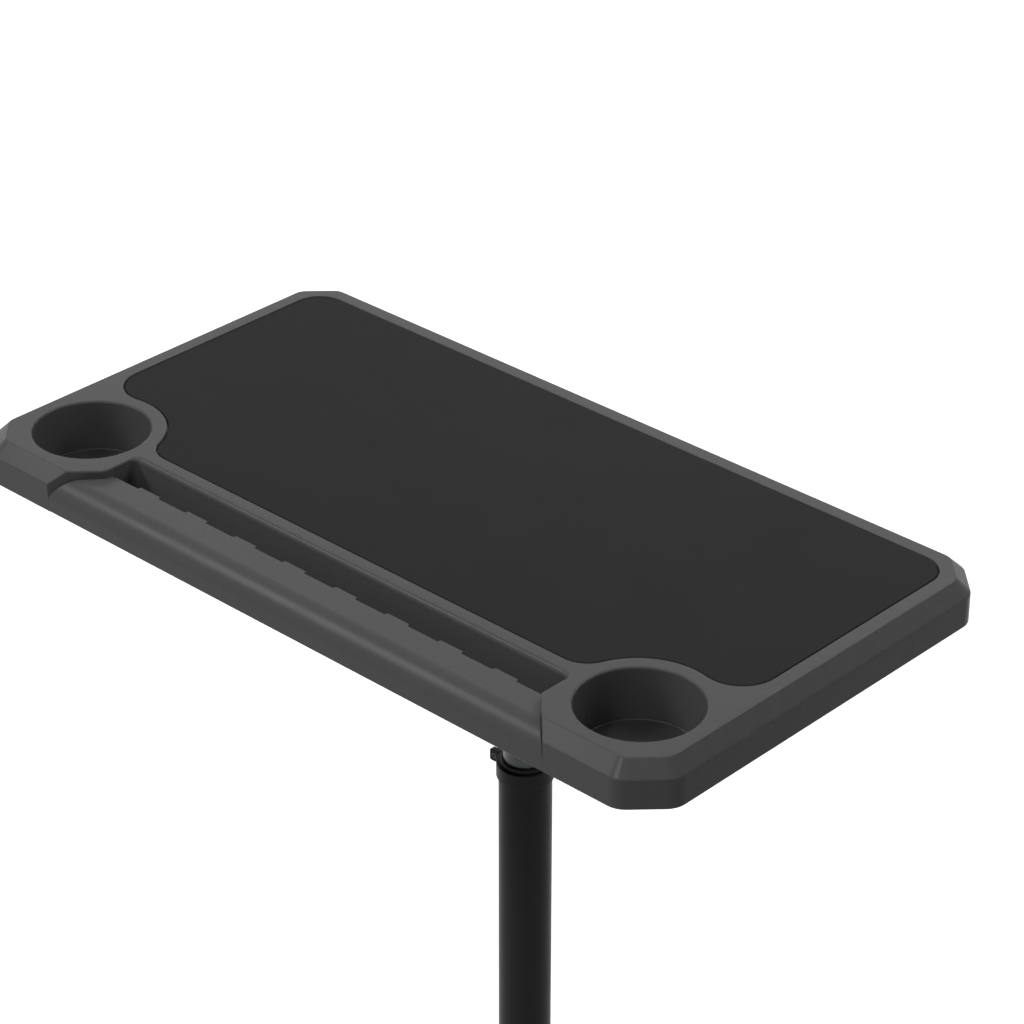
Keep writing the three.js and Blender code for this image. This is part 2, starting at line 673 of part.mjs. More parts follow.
function makeBaseSocket() {
  const plate = block(
    [-hubPlateWidth / 2, -crossbarDepth / 2, hubPlateBottom],
    [hubPlateWidth / 2, crossbarDepth / 2, hubPlateTop],
  );
  const hub = rod(hubOuter, hubPlateBottom, hubTop, tubeSteps);
  const bore = rod(hubBore, hubPlateTop, hubTop + overrun, tubeSteps);
  const screwHole = layAlongY(rod(setScrewRadius + seatGap, -hubOuter - overrun, hubOuter + overrun))
    .translate(0, 0, hubScrewZ);
  const reach = hubOuter + gussetReach;
  const slope = [
    [-reach, hubPlateTop - hubPlateThickness / 2], [reach, hubPlateTop - hubPlateThickness / 2],
    [reach, hubPlateTop + gussetThickness], [hubOuter, hubPlateTop + gussetHeight],
    [-hubOuter, hubPlateTop + gussetHeight], [-reach, hubPlateTop + gussetThickness],
  ];
  const gussets = prism(slope, -gussetThickness / 2, gussetThickness / 2).rotateX(Math.PI / 2);
  const body = joined([plate, hub, gussets].map(solid));
  return cut(body, [solid(bore), solid(screwHole), ...hubBoltHoles]);
}
place(stand, 'base_socket', makeBaseSocket(), powderCoat);

// Thumb screw that holds the outer tube in the hub, from behind
const hubScrew = bolt(setScrewRadius, hubWall + seatGap, setScrewHeadRadius, hubScrewReach);
place(stand, 'hub_screw', layAlongY(hubScrew.rotateX(Math.PI))
  .translate(0, hubOuter + seatGap, hubScrewZ), darkPlastic);

// Bolts through the plate into the crossbar
const hubBoltLength = hubPlateThickness + 2 * seatGap + tubeWall + baseBoltBite;
hubBolts.forEach(([x, y], i) => {
  const fitted = bolt(baseBoltRadius, hubBoltLength, baseBoltHeadRadius, baseBoltHeadHeight).rotateX(Math.PI);
  place(stand, `hub_bolt_${i + 1}`, fitted.translate(x, y, hubPlateTop + seatGap), zincSteel);
});

// Crossbar: a rectangular tube with end plates, between the legs
const crossbarEnd = legSpacing / 2 - legWidth / 2 - seatGap;
const legBoltY = [-legBoltSpread / 2, legBoltSpread / 2];
const legMiddleZ = (legFloorGap + legTop) / 2;
const legBoltHoles = legBoltY.map((y) => (
  solid(layAlongX(rod(baseBoltRadius + seatGap, -legSpacing, legSpacing)).translate(0, y, legMiddleZ))
));
place(stand, 'crossbar', cut(solid(block(
  [-crossbarEnd, -crossbarDepth / 2, legFloorGap], [crossbarEnd, crossbarDepth / 2, legTop],
)), [
  solid(block(
    [crossbarEndPlate - crossbarEnd, tubeWall - crossbarDepth / 2, legFloorGap + tubeWall],
    [crossbarEnd - crossbarEndPlate, crossbarDepth / 2 - tubeWall, legTop - tubeWall],
  )),
  ...hubBoltHoles,
  ...legBoltHoles,
]), powderCoat);

// Legs: open rectangular tubes along Y, drilled for the crossbar bolts and the caster stems
const stemY = legLength / 2 - stemInset;
function makeLeg(x) {
  const half = [legWidth / 2, legLength / 2];
  const tube = solid(block([x - half[0], -half[1], legFloorGap], [x + half[0], half[1], legTop]));
  const bore = solid(block(
    [x - half[0] + tubeWall, -half[1] - overrun, legFloorGap + tubeWall],
    [x + half[0] - tubeWall, half[1] + overrun, legTop - tubeWall],
  ));
  const stems = [-stemY, stemY].map((y) => (
    solid(rod(stemRadius + seatGap, 0, legMiddleZ).translate(x, y, 0))
  ));
  return cut(tube, [bore, ...stems, ...legBoltHoles]);
}

// Plastic end cap: a face over the end of the tube and a plug inside it
function makeLegCap(x, side) {
  const start = legLength / 2 + seatGap;
  const inset = tubeWall + seatGap;
  const face = block(
    [x - legWidth / 2, start, legFloorGap],
    [x + legWidth / 2, start + capThickness, legTop],
  );
  const plug = block(
    [x - legWidth / 2 + inset, start - capPlugLength, legFloorGap + inset],
    [x + legWidth / 2 - inset, start + capThickness / 2, legTop - inset],
  );
  const cap = solid(face).add(solid(plug));
  return side > 0 ? cap : cap.mirror([0, 1, 0]);
}
const legSides = [[-legSpacing / 2, 'left'], [legSpacing / 2, 'right']];
for (const [x, sideName] of legSides) {
  place(stand, `leg_${sideName}`, makeLeg(x), powderCoat);
  for (const [end, endName] of [[-1, 'front'], [1, 'rear']]) {
    place(stand, `leg_cap_${endName}_${sideName}`, makeLegCap(x, end), darkPlastic);
  }
}
const legBoltLength = legWidth + 2 * seatGap + crossbarEndPlate + baseBoltBite;
for (const [x, sideName] of legSides) {
  legBoltY.forEach((y, i) => {
    const fitted = layAlongX(bolt(baseBoltRadius, legBoltLength, baseBoltHeadRadius, baseBoltHeadHeight))
      .translate(-legSpacing / 2 - legWidth / 2 - seatGap, y, 0);
    const turnedRound = x < 0 ? fitted : fitted.rotateZ(Math.PI);
    place(stand, `leg_bolt_${sideName}_${i + 1}`, turnedRound.translate(0, 0, legMiddleZ), zincSteel);
  });
}

// Caster: local origin on the floor under the stem, with the wheel trailing towards +Y
const cheekInner = wheelHubHalf + runningGap;
const cheekOuter = cheekInner + forkThickness;
const pedalPivot = [pedalPivotY, forkPlateZ + pedalPivotRise];

function makeStem() {
  const raceBottom = forkTop + seatGap;
  const nutBottom = raceBottom + raceHeight;
  const nutTop = nutBottom + nutHeight;
  const stemTop = legFloorGap + stemLength;
  const rivetTop = forkPlateZ - seatGap;
  return turned([
    [0, rivetTop - rivetHeadHeight], [rivetHeadRadius, rivetTop - rivetHeadHeight],
    [rivetHeadRadius, rivetTop], [rivetRadius, rivetTop], [rivetRadius, raceBottom],
    [raceRadius, raceBottom], [raceRadius, nutBottom - edgeBreak], [nutRadius, nutBottom],
    [nutRadius, nutTop], [stemRadius, nutTop], [stemRadius, stemTop - edgeBreak],
    [stemRadius - edgeBreak, stemTop], [0, stemTop],
  ], smallSteps);
}

function makeFork(braked) {
  const plateTop = forkPlateZ + forkThickness;
  const crown = block([-cheekOuter, -forkPlateHalf, forkPlateZ], [cheekOuter, forkPlateHalf, plateTop]);
  const cup = rod(raceRadius, forkPlateZ, forkTop, wheelSteps);
  const eye = arc([casterTrail, wheelRadius], forkEyeRadius, forkEyeRadius, Math.PI, 2 * Math.PI);
  const ear = arc(pedalPivot, pedalEarRadius, pedalEarRadius, 0, Math.PI / 2, arcSteps / 2);
  const rear = braked ? ear : [[forkPlateHalf, plateTop]];
  const side = [[-forkPlateHalf, plateTop], [-forkPlateHalf, forkPlateZ - forkThickness], ...eye, ...rear];
  const cheeks = [-cheekOuter, cheekInner].map((x) => prismAlongX(side, x, x + forkThickness));
  const drill = (radius, [y, z]) => (
    layAlongX(rod(radius, -cheekOuter - overrun, cheekOuter + overrun)).translate(0, y, z)
  );
  const holes = [
    drill(axleRadius + seatGap, [casterTrail, wheelRadius]),
    rod(rivetRadius + seatGap, 0, legFloorGap),
    ...(braked ? [drill(pedalPinRadius + runningGap, pedalPivot)] : []),
  ];
  return cut(joined([crown, cup, ...cheeks].map(solid)), holes.map(solid));
}

// Wheel parts are turned about Z and laid along X on the axle
function makeAxle() {
  const inner = cheekOuter + seatGap;
  const outer = inner + axleHeadHeight;
  return layAlongX(turned([
    [0, -outer], [axleHeadRadius, -outer], [axleHeadRadius, -inner], [axleRadius, -inner],
    [axleRadius, inner], [axleHeadRadius, inner], [axleHeadRadius, outer], [0, outer],
  ], smallSteps)).translate(0, casterTrail, wheelRadius);
}

function makeWheel() {
  const bore = axleRadius + runningGap;
  const rim = wheelRadius - tyreThickness - seatGap;
  const half = [
    [bore, wheelHubHalf], [wheelHubRadius, wheelHubHalf], [wheelHubRadius, wheelWebHalf],
    [rim - wheelRimWall, wheelWebHalf], [rim - wheelRimWall, wheelRimHalf], [rim, wheelRimHalf],
  ];
  const profile = [...half.map(([radius, x]) => [radius, -x]), ...half.reverse()];
  return layAlongX(turned([...profile, profile[0]], wheelSteps)).translate(0, casterTrail, wheelRadius);
}

// Rubber tyre: its corners lie just past the wheel's radius, so that one flat of the tread rests on the floor
function makeTyre() {
  const inner = wheelRadius - tyreThickness;
  const tread = wheelRadius / Math.cos(Math.PI / tyreSteps);
  const half = [
    [inner, wheelRimHalf], [tread - tyreShoulder, tyreWidth / 2], [tread, tyreWidth / 2 - tyreShoulder],
  ];
  const profile = [...half.map(([radius, x]) => [radius, -x]), ...half.reverse()];
  const ring = turned([...profile, profile[0]], tyreSteps).rotateZ(Math.PI / tyreSteps);
  return layAlongX(ring).translate(0, casterTrail, wheelRadius);
}

// Brake pedal: a tread on a pin between the cheeks, with a lug that meets the tyre when it is pressed
function makePedal() {
  const [y, z] = pedalPivot;
  const half = pedalThickness / 2;
  const side = [
    [y - half, z - half], [y + pedalLugReach - half / 2, z - half], [y + pedalLugReach, z - pedalLugDrop],
    [y + pedalLugReach + pedalLugLength, z - pedalLugDrop],
    [y + pedalLugReach + pedalLugLength + half / 2, z - pedalThickness],
    [y + pedalLength - half / 2, z - pedalDroop - half], [y + pedalLength, z - pedalDroop],
    [y + half, z + half], [y - half, z + half],
  ];
  const pinHalf = cheekOuter + edgeBreak;
  const pin = layAlongX(rod(pedalPinRadius, -pinHalf, pinHalf)).translate(0, y, z);
  return solid(prismAlongX(side, -wheelHubHalf, wheelHubHalf)).add(solid(pin));
}

for (const [x, sideName] of legSides) {
  for (const [end, endName] of [[-1, 'front'], [1, 'rear']]) {
    const caster = new THREE.Group();
    caster.position.set(x, end * stemY, 0);
    caster.rotation.z = end < 0 ? Math.PI : 0;
    const corner = `${endName}_${sideName}`;
    place(caster, `caster_stem_${corner}`, makeStem(), zincSteel);
    place(caster, `fork_${corner}`, makeFork(end < 0), blackSteel);
    place(caster, `axle_${corner}`, makeAxle(), zincSteel);
    place(caster, `wheel_${corner}`, makeWheel(), wheelPlastic);
    place(caster, `tyre_${corner}`, makeTyre(), tyreRubber);
    if (end < 0) place(caster, `brake_pedal_${corner}`, makePedal(), darkPlastic);
    stand.add(caster);
  }
}

const desk = new THREE.Group();
desk.add(desktop, stand);
export default desk;
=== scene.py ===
from math import cos, pi, radians, sin, sqrt, tan

import bmesh
import bpy
import numpy as np
from mathutils import Matrix, Vector, geometry


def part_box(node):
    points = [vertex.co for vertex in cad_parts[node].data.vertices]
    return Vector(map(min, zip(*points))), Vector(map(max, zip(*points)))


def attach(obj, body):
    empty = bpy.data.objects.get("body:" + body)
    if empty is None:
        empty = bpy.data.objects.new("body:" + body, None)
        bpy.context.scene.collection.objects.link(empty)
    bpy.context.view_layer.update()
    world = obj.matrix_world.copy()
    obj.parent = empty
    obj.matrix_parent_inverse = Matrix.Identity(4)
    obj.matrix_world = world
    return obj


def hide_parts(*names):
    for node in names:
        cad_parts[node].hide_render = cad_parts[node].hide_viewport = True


# Height-adjustable desk for an indoor bike trainer: a moulded top with cup wells, a device slot, a front roll
# and a rubber mat, on a telescopic post over a base on casters. Sizes are millimetres unless a name says
# otherwise; MM turns them into metres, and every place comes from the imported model.
MM = 0.001
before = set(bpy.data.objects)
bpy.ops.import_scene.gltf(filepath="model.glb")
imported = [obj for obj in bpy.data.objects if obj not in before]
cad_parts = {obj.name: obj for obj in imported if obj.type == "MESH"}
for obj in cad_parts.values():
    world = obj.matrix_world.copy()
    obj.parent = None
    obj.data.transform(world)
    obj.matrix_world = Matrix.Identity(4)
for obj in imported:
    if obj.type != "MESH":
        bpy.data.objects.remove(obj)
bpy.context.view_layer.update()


def box_mm(node):
    """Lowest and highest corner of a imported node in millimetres."""
    return np.array(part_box(node)) / MM


tray_low, tray_high = box_mm("top_tray")
desk_origin = np.array([*(tray_low + tray_high)[:2] / 2, tray_high[2]])

# Desktop, in its own frame: the rim plane is z = 0 and the user is on the -Y side
HALF_X = (tray_high[0] - tray_low[0]) / 2
HALF_Y = (tray_high[1] - tray_low[1]) / 2
FRONT_Y = -HALF_Y
BEVEL_WIDTH = 9.8
BEVEL_DROP = 9.5
THICKNESS = 30.3
CORNER_CUT = 20
SKIRT_WALL = 3
DECK_BOTTOM = -6.6
RIM_FLAT_INSET = 12.6
EDGE_FILLET = 1.5
FOOT_FILLET = 0.6
SHOULDER_FILLET = 2
PLAN_RADIUS = 16
PLAN_RADIUS_LOSS = 0.6
RIM_SECTION = [[RIM_FLAT_INSET, 0], [BEVEL_WIDTH, 0], [0, -BEVEL_DROP], [0, -THICKNESS]]

# Mat and its recess
MAT_MARGIN = 21
MAT_FRONT_MARGIN = 67
MAT_CORNER = 20
MAT_GAP = 1
MAT_INNER_BLEND = 20
MAT_OUTER_BLEND = 25
MAT_TOP = -0.3
MAT_BOTTOM = -2.3
RECESS_DEPTH = 2.6
RECESS_EDGE = 0.5
MAT_EDGE = 0.8

# Cup wells
CUP_X = 248.5
CUP_Y = -107
CUP_MIDDLES = ((-CUP_X, CUP_Y), (CUP_X, CUP_Y))
CUP_RADIUS = 40.2
CUP_FLOOR_RADIUS = 39
CUP_DEPTH = 37
CUP_WALL = 2.4
CUP_LIP = 1.6
CUP_RING = 11.8
CUP_FLOOR_FILLET = 0.8
CUP_FOOT_FILLET = 3
CUP_FOOT_FLAT = 20
PAD_RADIUS = 38.6
PAD_BOTTOM = -36.8
PAD_TOP = -36.2
PAD_BEAD = 0.5
PAD_MIDDLE = 4

# Device slot and roll
SLOT_BACK_Y = -112.7
SLOT_HALF = 197.5
SLOT_FLOOR = -27
SLOT_FRONT_Y = -132.4
SLOT_WALL = 2.5
SLOT_REAR_EDGE = 3.5
SLOT_END_EDGE = 1.2
SEAM_EDGE = 0.03
SEAM_FADE_Z = (-11.5, -6)
SLOT_CORNER = 5
SLOT_FLOOR_FILLET = 2
END_CUT_Y = -139.2
END_TURN_RADIUS = 8
LIP_TOP = -6
LIP_EDGE_Y = -130
LIP_THICKNESS = 3
NOTCH_DEPTH = 2.4
NOTCH_WIDTH = 26.8
NOTCH_PITCH = 46.3
NOTCHES = 9
NOTCH_RAMP = 1.4
ROLL_FLAT_END_Y = -151.5
ROLL_NOSE = ROLL_FLAT_END_Y - FRONT_Y
ROLL_NOSE_POWER = 1.7
ROLL_SHOULDER = 15
ROLL_WALL = 3
ROLL_EDGE = 1
ROLL_END_EDGE = 0.8
ROLL_END_GAP = 0.02
ROLL_SEAM_Z = (-22, -12)
ROLL_HOOK_DEPTH = 15
ROLL_OVERLAP = 0.5
ROLL_END_ZONE = 3
HOOK_END_GAP = 2
LIP_EDGE_DEPTH = 1.5
LIP_ROOT_Y = -140
SEAT_GAP = 0.3

# The post's place on the desktop, steps of round shapes, the angle of a sharp edge, and a hidden length
POST_Y = 60
ARC_STEPS = 7
FULL_STEPS = 128
BOLT_STEPS = 48
ROUND_STEPS = 64
SHARP_ANGLE = radians(35)
SMALL = 0.01


# Plan and section lines

def unit(vectors):
    """Each vector divided by its length."""
    return vectors / np.linalg.norm(vectors, axis=-1, keepdims=True)


def right_of(directions):
    """Each plan direction turned a quarter turn clockwise."""
    return np.stack([directions[:, 1], -directions[:, 0]], 1)


def rounded(corners, radii, steps=ARC_STEPS, closed=True):
    """A line through corners with each corner replaced by an arc, as (points, directions).

    With t = radius * tan(turn / 2), the arc's centre lies t back from the corner and one radius to the side
    it turns to; its points turn about that centre by equal shares of the corner's turn.
    """
    corners = np.asarray(corners, float)
    ahead = unit(np.roll(corners, -1, 0) - corners)
    behind = np.roll(ahead, 1, 0)
    if not closed:
        ahead[-1] = behind[-1]
        behind[0] = ahead[0]
    cross = behind[:, 0] * ahead[:, 1] - behind[:, 1] * ahead[:, 0]
    turn = np.arctan2(cross, (behind * ahead).sum(1))
    radius = np.broadcast_to(np.asarray(radii, float), turn.shape)
    inward = right_of(behind) * np.where(turn < 0, 1.0, -1.0)[:, None]
    centre = corners - behind * (radius * np.abs(np.tan(turn / 2)))[:, None] + inward * radius[:, None]
    angle = turn[:, None] * np.linspace(0, 1, steps + 1)
    c = np.cos(angle)[..., None]
    s = np.sin(angle)[..., None]

    def turned_by(v):
        return c * v[:, None] - s * right_of(v)[:, None]

    points = centre[:, None] - turned_by(inward) * radius[:, None, None]
    directions = turned_by(behind)
    if closed:
        return points.reshape(-1, 2), directions.reshape(-1, 2)
    points = np.concatenate([corners[:1], points[1:-1].reshape(-1, 2), corners[-1:]])
    directions = np.concatenate([ahead[:1], directions[1:-1].reshape(-1, 2), behind[-1:]])
    return points, directions


def stair(*turns):
    """Corners of a line of right angles: its start, then each new first or second coordinate in turn."""
    return [[turns[k + k % 2], turns[k + 1 - k % 2]] for k in range(len(turns) - 1)]


def open_line(corners, radii, steps=ARC_STEPS):
    """The points of an open line with rounded corners."""
    return rounded(corners, radii, steps, closed=False)[0]


def drawn_in(corners, depth):
    """An open line moved to its right by a depth: each corner goes along the sum of its two side normals."""
    corners = np.asarray(corners, float)
    right = right_of(unit(np.diff(corners, axis=0)))
    before = np.concatenate([right[:1], right])
    after = np.concatenate([right, right[-1:]])
    share = 1 + (before * after).sum(1, keepdims=True)
    return corners + depth * (before + after) / share


def desk_corners(inset):
    """The desktop's eight plan corners, counterclockwise from the front right, drawn in by an inset."""
    x = HALF_X - inset
    y = HALF_Y - inset
    leg = CORNER_CUT + (BEVEL_WIDTH - inset) * (2 - sqrt(2))
    return [[x - leg, -y], [x, leg - y], [x, y - leg], [x - leg, y],
            [leg - x, y], [-x, y - leg], [-x, leg - y], [leg - x, -y]]


def desk_plan(inset, end_x):
    """The desktop's plan from the roll's right end round to its left end, drawn in by an inset."""
    front_y = inset - HALF_Y
    line = [[end_x, front_y], *desk_corners(inset), [-end_x, front_y]]
    return open_line(line, max(PLAN_RADIUS - PLAN_RADIUS_LOSS * inset, 1))


def arc_points(centre, radius, start, end, steps):
    """Points of a circular arc from one angle to another in radians."""
    angle = np.linspace(start, end, steps + 1)
    return np.stack([np.cos(angle), np.sin(angle)], 1) * radius + centre


def circle(radius, centre=(0, 0), steps=FULL_STEPS):
    """A closed ring of points about a centre, counterclockwise."""
    return arc_points(centre, radius, 0, 2 * pi, steps)[:-1]


def quarter_round(radius, steps=4):
    """A rounded edge at turns a from 0 to 90 degrees: radius * (1 - sin a) and radius * (1 - cos a)."""
    a = np.linspace(0, pi / 2, steps + 1)
    return np.stack([radius * (1 - np.sin(a)), radius * (1 - np.cos(a))], 1)


def mat_plan(grow):
    """The mat's outline, counterclockwise, grown by an amount: round rear corners and arcs round the cups."""
    half = HALF_X - MAT_MARGIN
    x = half + grow
    back = HALF_Y - MAT_MARGIN
    front = FRONT_Y + MAT_FRONT_MARGIN
    ring = CUP_RADIUS + CUP_RING
    corner = MAT_CORNER + grow
    inner_y = front + MAT_INNER_BLEND
    inner_x = CUP_X - sqrt((ring + MAT_INNER_BLEND) ** 2 - (inner_y - CUP_Y) ** 2)
    outer_x = half - MAT_OUTER_BLEND
    outer_y = CUP_Y + sqrt((ring + MAT_OUTER_BLEND) ** 2 - (CUP_X - outer_x) ** 2)
    inner_angle = np.arctan2(CUP_Y - inner_y, CUP_X - inner_x)
    outer_angle = np.arctan2(CUP_Y - outer_y, CUP_X - outer_x)
    right = np.concatenate([
        arc_points((inner_x, inner_y), MAT_INNER_BLEND + grow, -pi / 2, inner_angle, 10),
        arc_points((CUP_X, CUP_Y), ring - grow, inner_angle + pi, outer_angle + pi, 24),
        arc_points((outer_x, outer_y), MAT_OUTER_BLEND + grow, outer_angle, 0, 12),
        arc_points((x - corner, back + grow - corner), corner, 0, pi / 2, 14),
    ])
    return np.concatenate([right, right[::-1] * [-1, 1]])


def box_plan(x0, x1, y0, y1, radius):
    """A function of inset that gives a rectangle with rounded corners."""
    def plan(inset):
        left, right, near, far = x0 + inset, x1 - inset, y0 + inset, y1 - inset
        return rounded(stair(left, near, right, far, left), max(radius - inset, SMALL), 5)[0]
    return plan


def outline_plan(corners, radii, steps=5):
    """A function of inset that draws a closed, counterclockwise outline in.

    A corner moves by the inset times the sum of its two inward normals over one plus their product, and its
    rounding shrinks by the inset.
    """
    corners = np.asarray(corners, float)
    radii = np.broadcast_to(np.asarray(radii, float), len(corners))
    after = -right_of(unit(np.roll(corners, -1, 0) - corners))
    before = np.roll(after, 1, 0)
    toward = (before + after) / (1 + (before * after).sum(1, keepdims=True))

    def plan(inset):
        return rounded(corners + inset * toward, np.maximum(radii - inset, 2 * SMALL), steps)[0]
    return plan


# Surfaces: a patch is an array of vertices and a list of faces that index it

def grid(points, wrap_rows=False, wrap_columns=False):
    """Quads between neighbours of a grid of points; a wrapped way joins its last line to its first."""
    points = np.asarray(points, float)
    rows, columns = points.shape[:2]
    row = np.arange(rows - (not wrap_rows))
    column = np.arange(columns - (not wrap_columns))
    r, c = np.meshgrid(row, column, indexing="ij")
    near = r * columns
    far = (r + 1) % rows * columns
    next_c = (c + 1) % columns
    faces = np.stack([near + c, near + next_c, far + next_c, far + c], -1)
    return points.reshape(-1, 3), faces.reshape(-1, 4).tolist()


def at_height(plan, z):
    """Plan points lifted to a height, or to one height each."""
    plan = np.asarray(plan, float)
    return np.column_stack([plan, np.broadcast_to(np.asarray(z, float), len(plan))])


def inside_line(points, line):
    """Whether each point is inside a closed line: a ray towards +X crosses it an odd number of times."""
    a = line[None]
    b = np.roll(line, -1, 0)[None]
    p = points[:, None]
    spans = (a[..., 1] > p[..., 1]) != (b[..., 1] > p[..., 1])
    rise = np.where(b[..., 1] == a[..., 1], 1, b[..., 1] - a[..., 1])
    x = a[..., 0] + (p[..., 1] - a[..., 1]) / rise * (b[..., 0] - a[..., 0])
    return (spans & (p[..., 0] < x)).sum(1) % 2 == 1


def flat(outer, holes=(), z=0.0):
    """A flat face at a height: Delaunay triangles of all the lines, kept where inside and not in a hole."""
    lines = [np.asarray(line, float) for line in (outer, *holes)]
    starts = np.cumsum([0] + [len(line) for line in lines])
    edges = [(s + i, s + (i + 1) % len(line)) for s, line in zip(starts, lines) for i in range(len(line))]
    points = [Vector(p) for p in np.concatenate(lines)]
    made, _, faces, *_ = geometry.delaunay_2d_cdt(points, edges, [], 0, 1e-7)
    made = np.array([list(p) for p in made])
    faces = np.array(faces)
    middle = made[faces].mean(1)
    keep = inside_line(middle, lines[0])
    for hole in lines[1:]:
        keep &= ~inside_line(middle, hole)
    return at_height(made, z), faces[keep].tolist()


def swung(r, angle, z, centre=(0, 0)):
    """Points at a radius, an angle and a height about an upright axis."""
    x = r * np.cos(angle) + centre[0]
    y = r * np.sin(angle) + centre[1]
    return np.stack([x, y, np.broadcast_to(z, x.shape)], -1)


def turned(section, steps=FULL_STEPS, centre=(0, 0), closed=False):
    """A body of revolution: the (radius, height) section turned about an upright axis by equal angles."""
    angle = 2 * pi * np.arange(steps) / steps
    return grid(swung(section[:, :1], angle, section[:, 1:], centre), wrap_rows=closed, wrap_columns=True)


def lathe(profile, radii, closed=False, steps=FULL_STEPS, centre=(0, 0)):
    """A turned body whose (radius, height) profile has its corners rounded."""
    return turned(rounded(profile, radii, 5, closed)[0], steps, centre, closed)


def rod(radius, low, high, edge, steps=FULL_STEPS, centre=(0, 0)):
    """A solid round bar on Z with rounded ends."""
    return lathe(stair(0, low, radius, high, 0), [0, edge, edge, 0], steps=steps, centre=centre)


def slab(plan, low, high, edge, steps=4, holes=()):
    """A plate with straight holes and quarter round edges. plan(inset) is its outline."""
    arc = quarter_round(edge, steps)
    rows = [at_height(plan(inset), low + lift) for inset, lift in arc]
    rows += [at_height(plan(inset), high - lift) for inset, lift in arc[::-1]]
    walls = [grid([at_height(hole, low), at_height(hole, high)], wrap_columns=True) for hole in holes]
    ends = [flat(plan(edge), holes, z) for z in (low, high)]
    return [grid(rows, wrap_columns=True), *ends, *walls]


# Turns that lay a body made on Z along another way
ALONG_X = np.array([[0, 0, 1], [1, 0, 0], [0, 1, 0]])
ALONG_Y = np.array([[1, 0, 0], [0, 0, 1], [0, -1, 0]])
AGAINST_X = np.array([[0, 0, -1], [1, 0, 0], [0, -1, 0]])
AGAINST_Y = np.array([[1, 0, 0], [0, 0, -1], [0, 1, 0]])
DOWN = np.diag([1, -1, -1])
UPRIGHT = np.eye(3)
ACROSS_DOWN = np.array([[0, 0, 1], [1, 0, 0], [0, -1, 0]])


def moved(patches, turn=UPRIGHT, offset=(0, 0, 0)):
    """Patches turned by a 3 x 3 matrix and then moved by an offset."""
    return [(points @ turn.T + offset, faces) for points, faces in patches]


def bar(low, high, turn, corner, edge, steps=4, holes=()):
    """A block that fills a box: corners rounded about the way that turn lays Z, and quarter round ends."""
    (x0, y0, z0), (x1, y1, z1) = np.sort([np.dot(low, turn), np.dot(high, turn)], axis=0)
    return moved(slab(box_plan(x0, x1, y0, y1, corner), z0, z1, edge, steps, holes), turn)


def mesh_from(name, patches):
    """One mesh of all the patches: joined, seams merged, faces pointing out, smooth up to the sharp angle."""
    mesh = bpy.data.meshes.new(name)
    starts = np.cumsum([0] + [len(points) for points, _ in patches])
    points = np.concatenate([points for points, _ in patches]) * MM
    faces = [[i + start for i in face] for start, (_, made) in zip(starts, patches) for face in made]
    mesh.from_pydata(points, [], faces)
    shape = bmesh.new()
    shape.from_mesh(mesh)
    bmesh.ops.remove_doubles(shape, verts=shape.verts, dist=2e-6)
    bmesh.ops.dissolve_degenerate(shape, edges=shape.edges, dist=1e-7)
    bmesh.ops.recalc_face_normals(shape, faces=shape.faces)
    shape.to_mesh(mesh)
    shape.free()
    mesh.shade_smooth()
    mesh.set_sharp_from_angle(angle=SHARP_ANGLE)
    return mesh


def add_object(name, data):
    """A new object in the scene."""
    made = bpy.data.objects.new(name, data)
    bpy.context.scene.collection.objects.link(made)
    return made


def add_piece(name, patches, finish, body, node, slot=None):
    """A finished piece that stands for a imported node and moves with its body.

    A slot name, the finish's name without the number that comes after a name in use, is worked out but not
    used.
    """
    slot = slot or finish.name.split(".")[0]
    piece = add_object(name, mesh_from(name, patches))
    piece.data.materials.append(finish)
    weighted = piece.modifiers.new("even_faces", "WEIGHTED_NORMAL")
    weighted.keep_sharp = True
    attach(piece, body)
    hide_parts(node)


# Camera

CAMERA_AZIMUTH = radians(43.27)
CAMERA_ELEVATION = radians(29.91)
CAMERA_ROLL = radians(0.037)
CAMERA_DISTANCE = 2249
CAMERA_AIM = np.array([36.7, -53.0, 1000.0])
LENS = 121.3


def add_camera():
    """The camera: back = (sin a cos e, -cos a cos e, sin e), right = (cos a, sin a, 0), up = back x right."""
    a = CAMERA_AZIMUTH
    e = CAMERA_ELEVATION
    back = Vector((sin(a) * cos(e), -cos(a) * cos(e), sin(e)))
    right = Vector((cos(a), sin(a), 0))
    tilted = right * cos(CAMERA_ROLL) + back.cross(right) * sin(CAMERA_ROLL)
    place = Vector(CAMERA_AIM * MM) + back * CAMERA_DISTANCE * MM
    camera = add_object("camera", bpy.data.cameras.new("camera"))
    camera.data.lens = LENS
    camera.data.sensor_width = 36
    camera.data.clip_end = 100
    turn = Matrix((tilted, back.cross(tilted), back)).transposed()
    camera.matrix_world = Matrix.Translation(place) @ turn.to_4x4()
    bpy.context.scene.camera = camera


add_camera()


# Finishes: noise is (cells a metre, detail), and a third item says how it is drawn out along X, Y and Z

def colour(level):
    """An sRGB colour as scene light, from one level of 0 to 255 or from red, green and blue."""
    share = np.broadcast_to(level, 3) / 255
    light = np.where(share <= 0.04045, share / 12.92, ((share + 0.055) / 1.055) ** 2.4)
    return (*light.tolist(), 1)


def add_node(tree, kind, values=(), **settings):
    """A node with its settings, and the values of its inputs as (socket, value) pairs."""
    node = tree.nodes.new(kind)
    for key, value in settings.items():
        setattr(node, key, value)
    for socket, value in values:
        node.inputs[socket].default_value = value
    return node


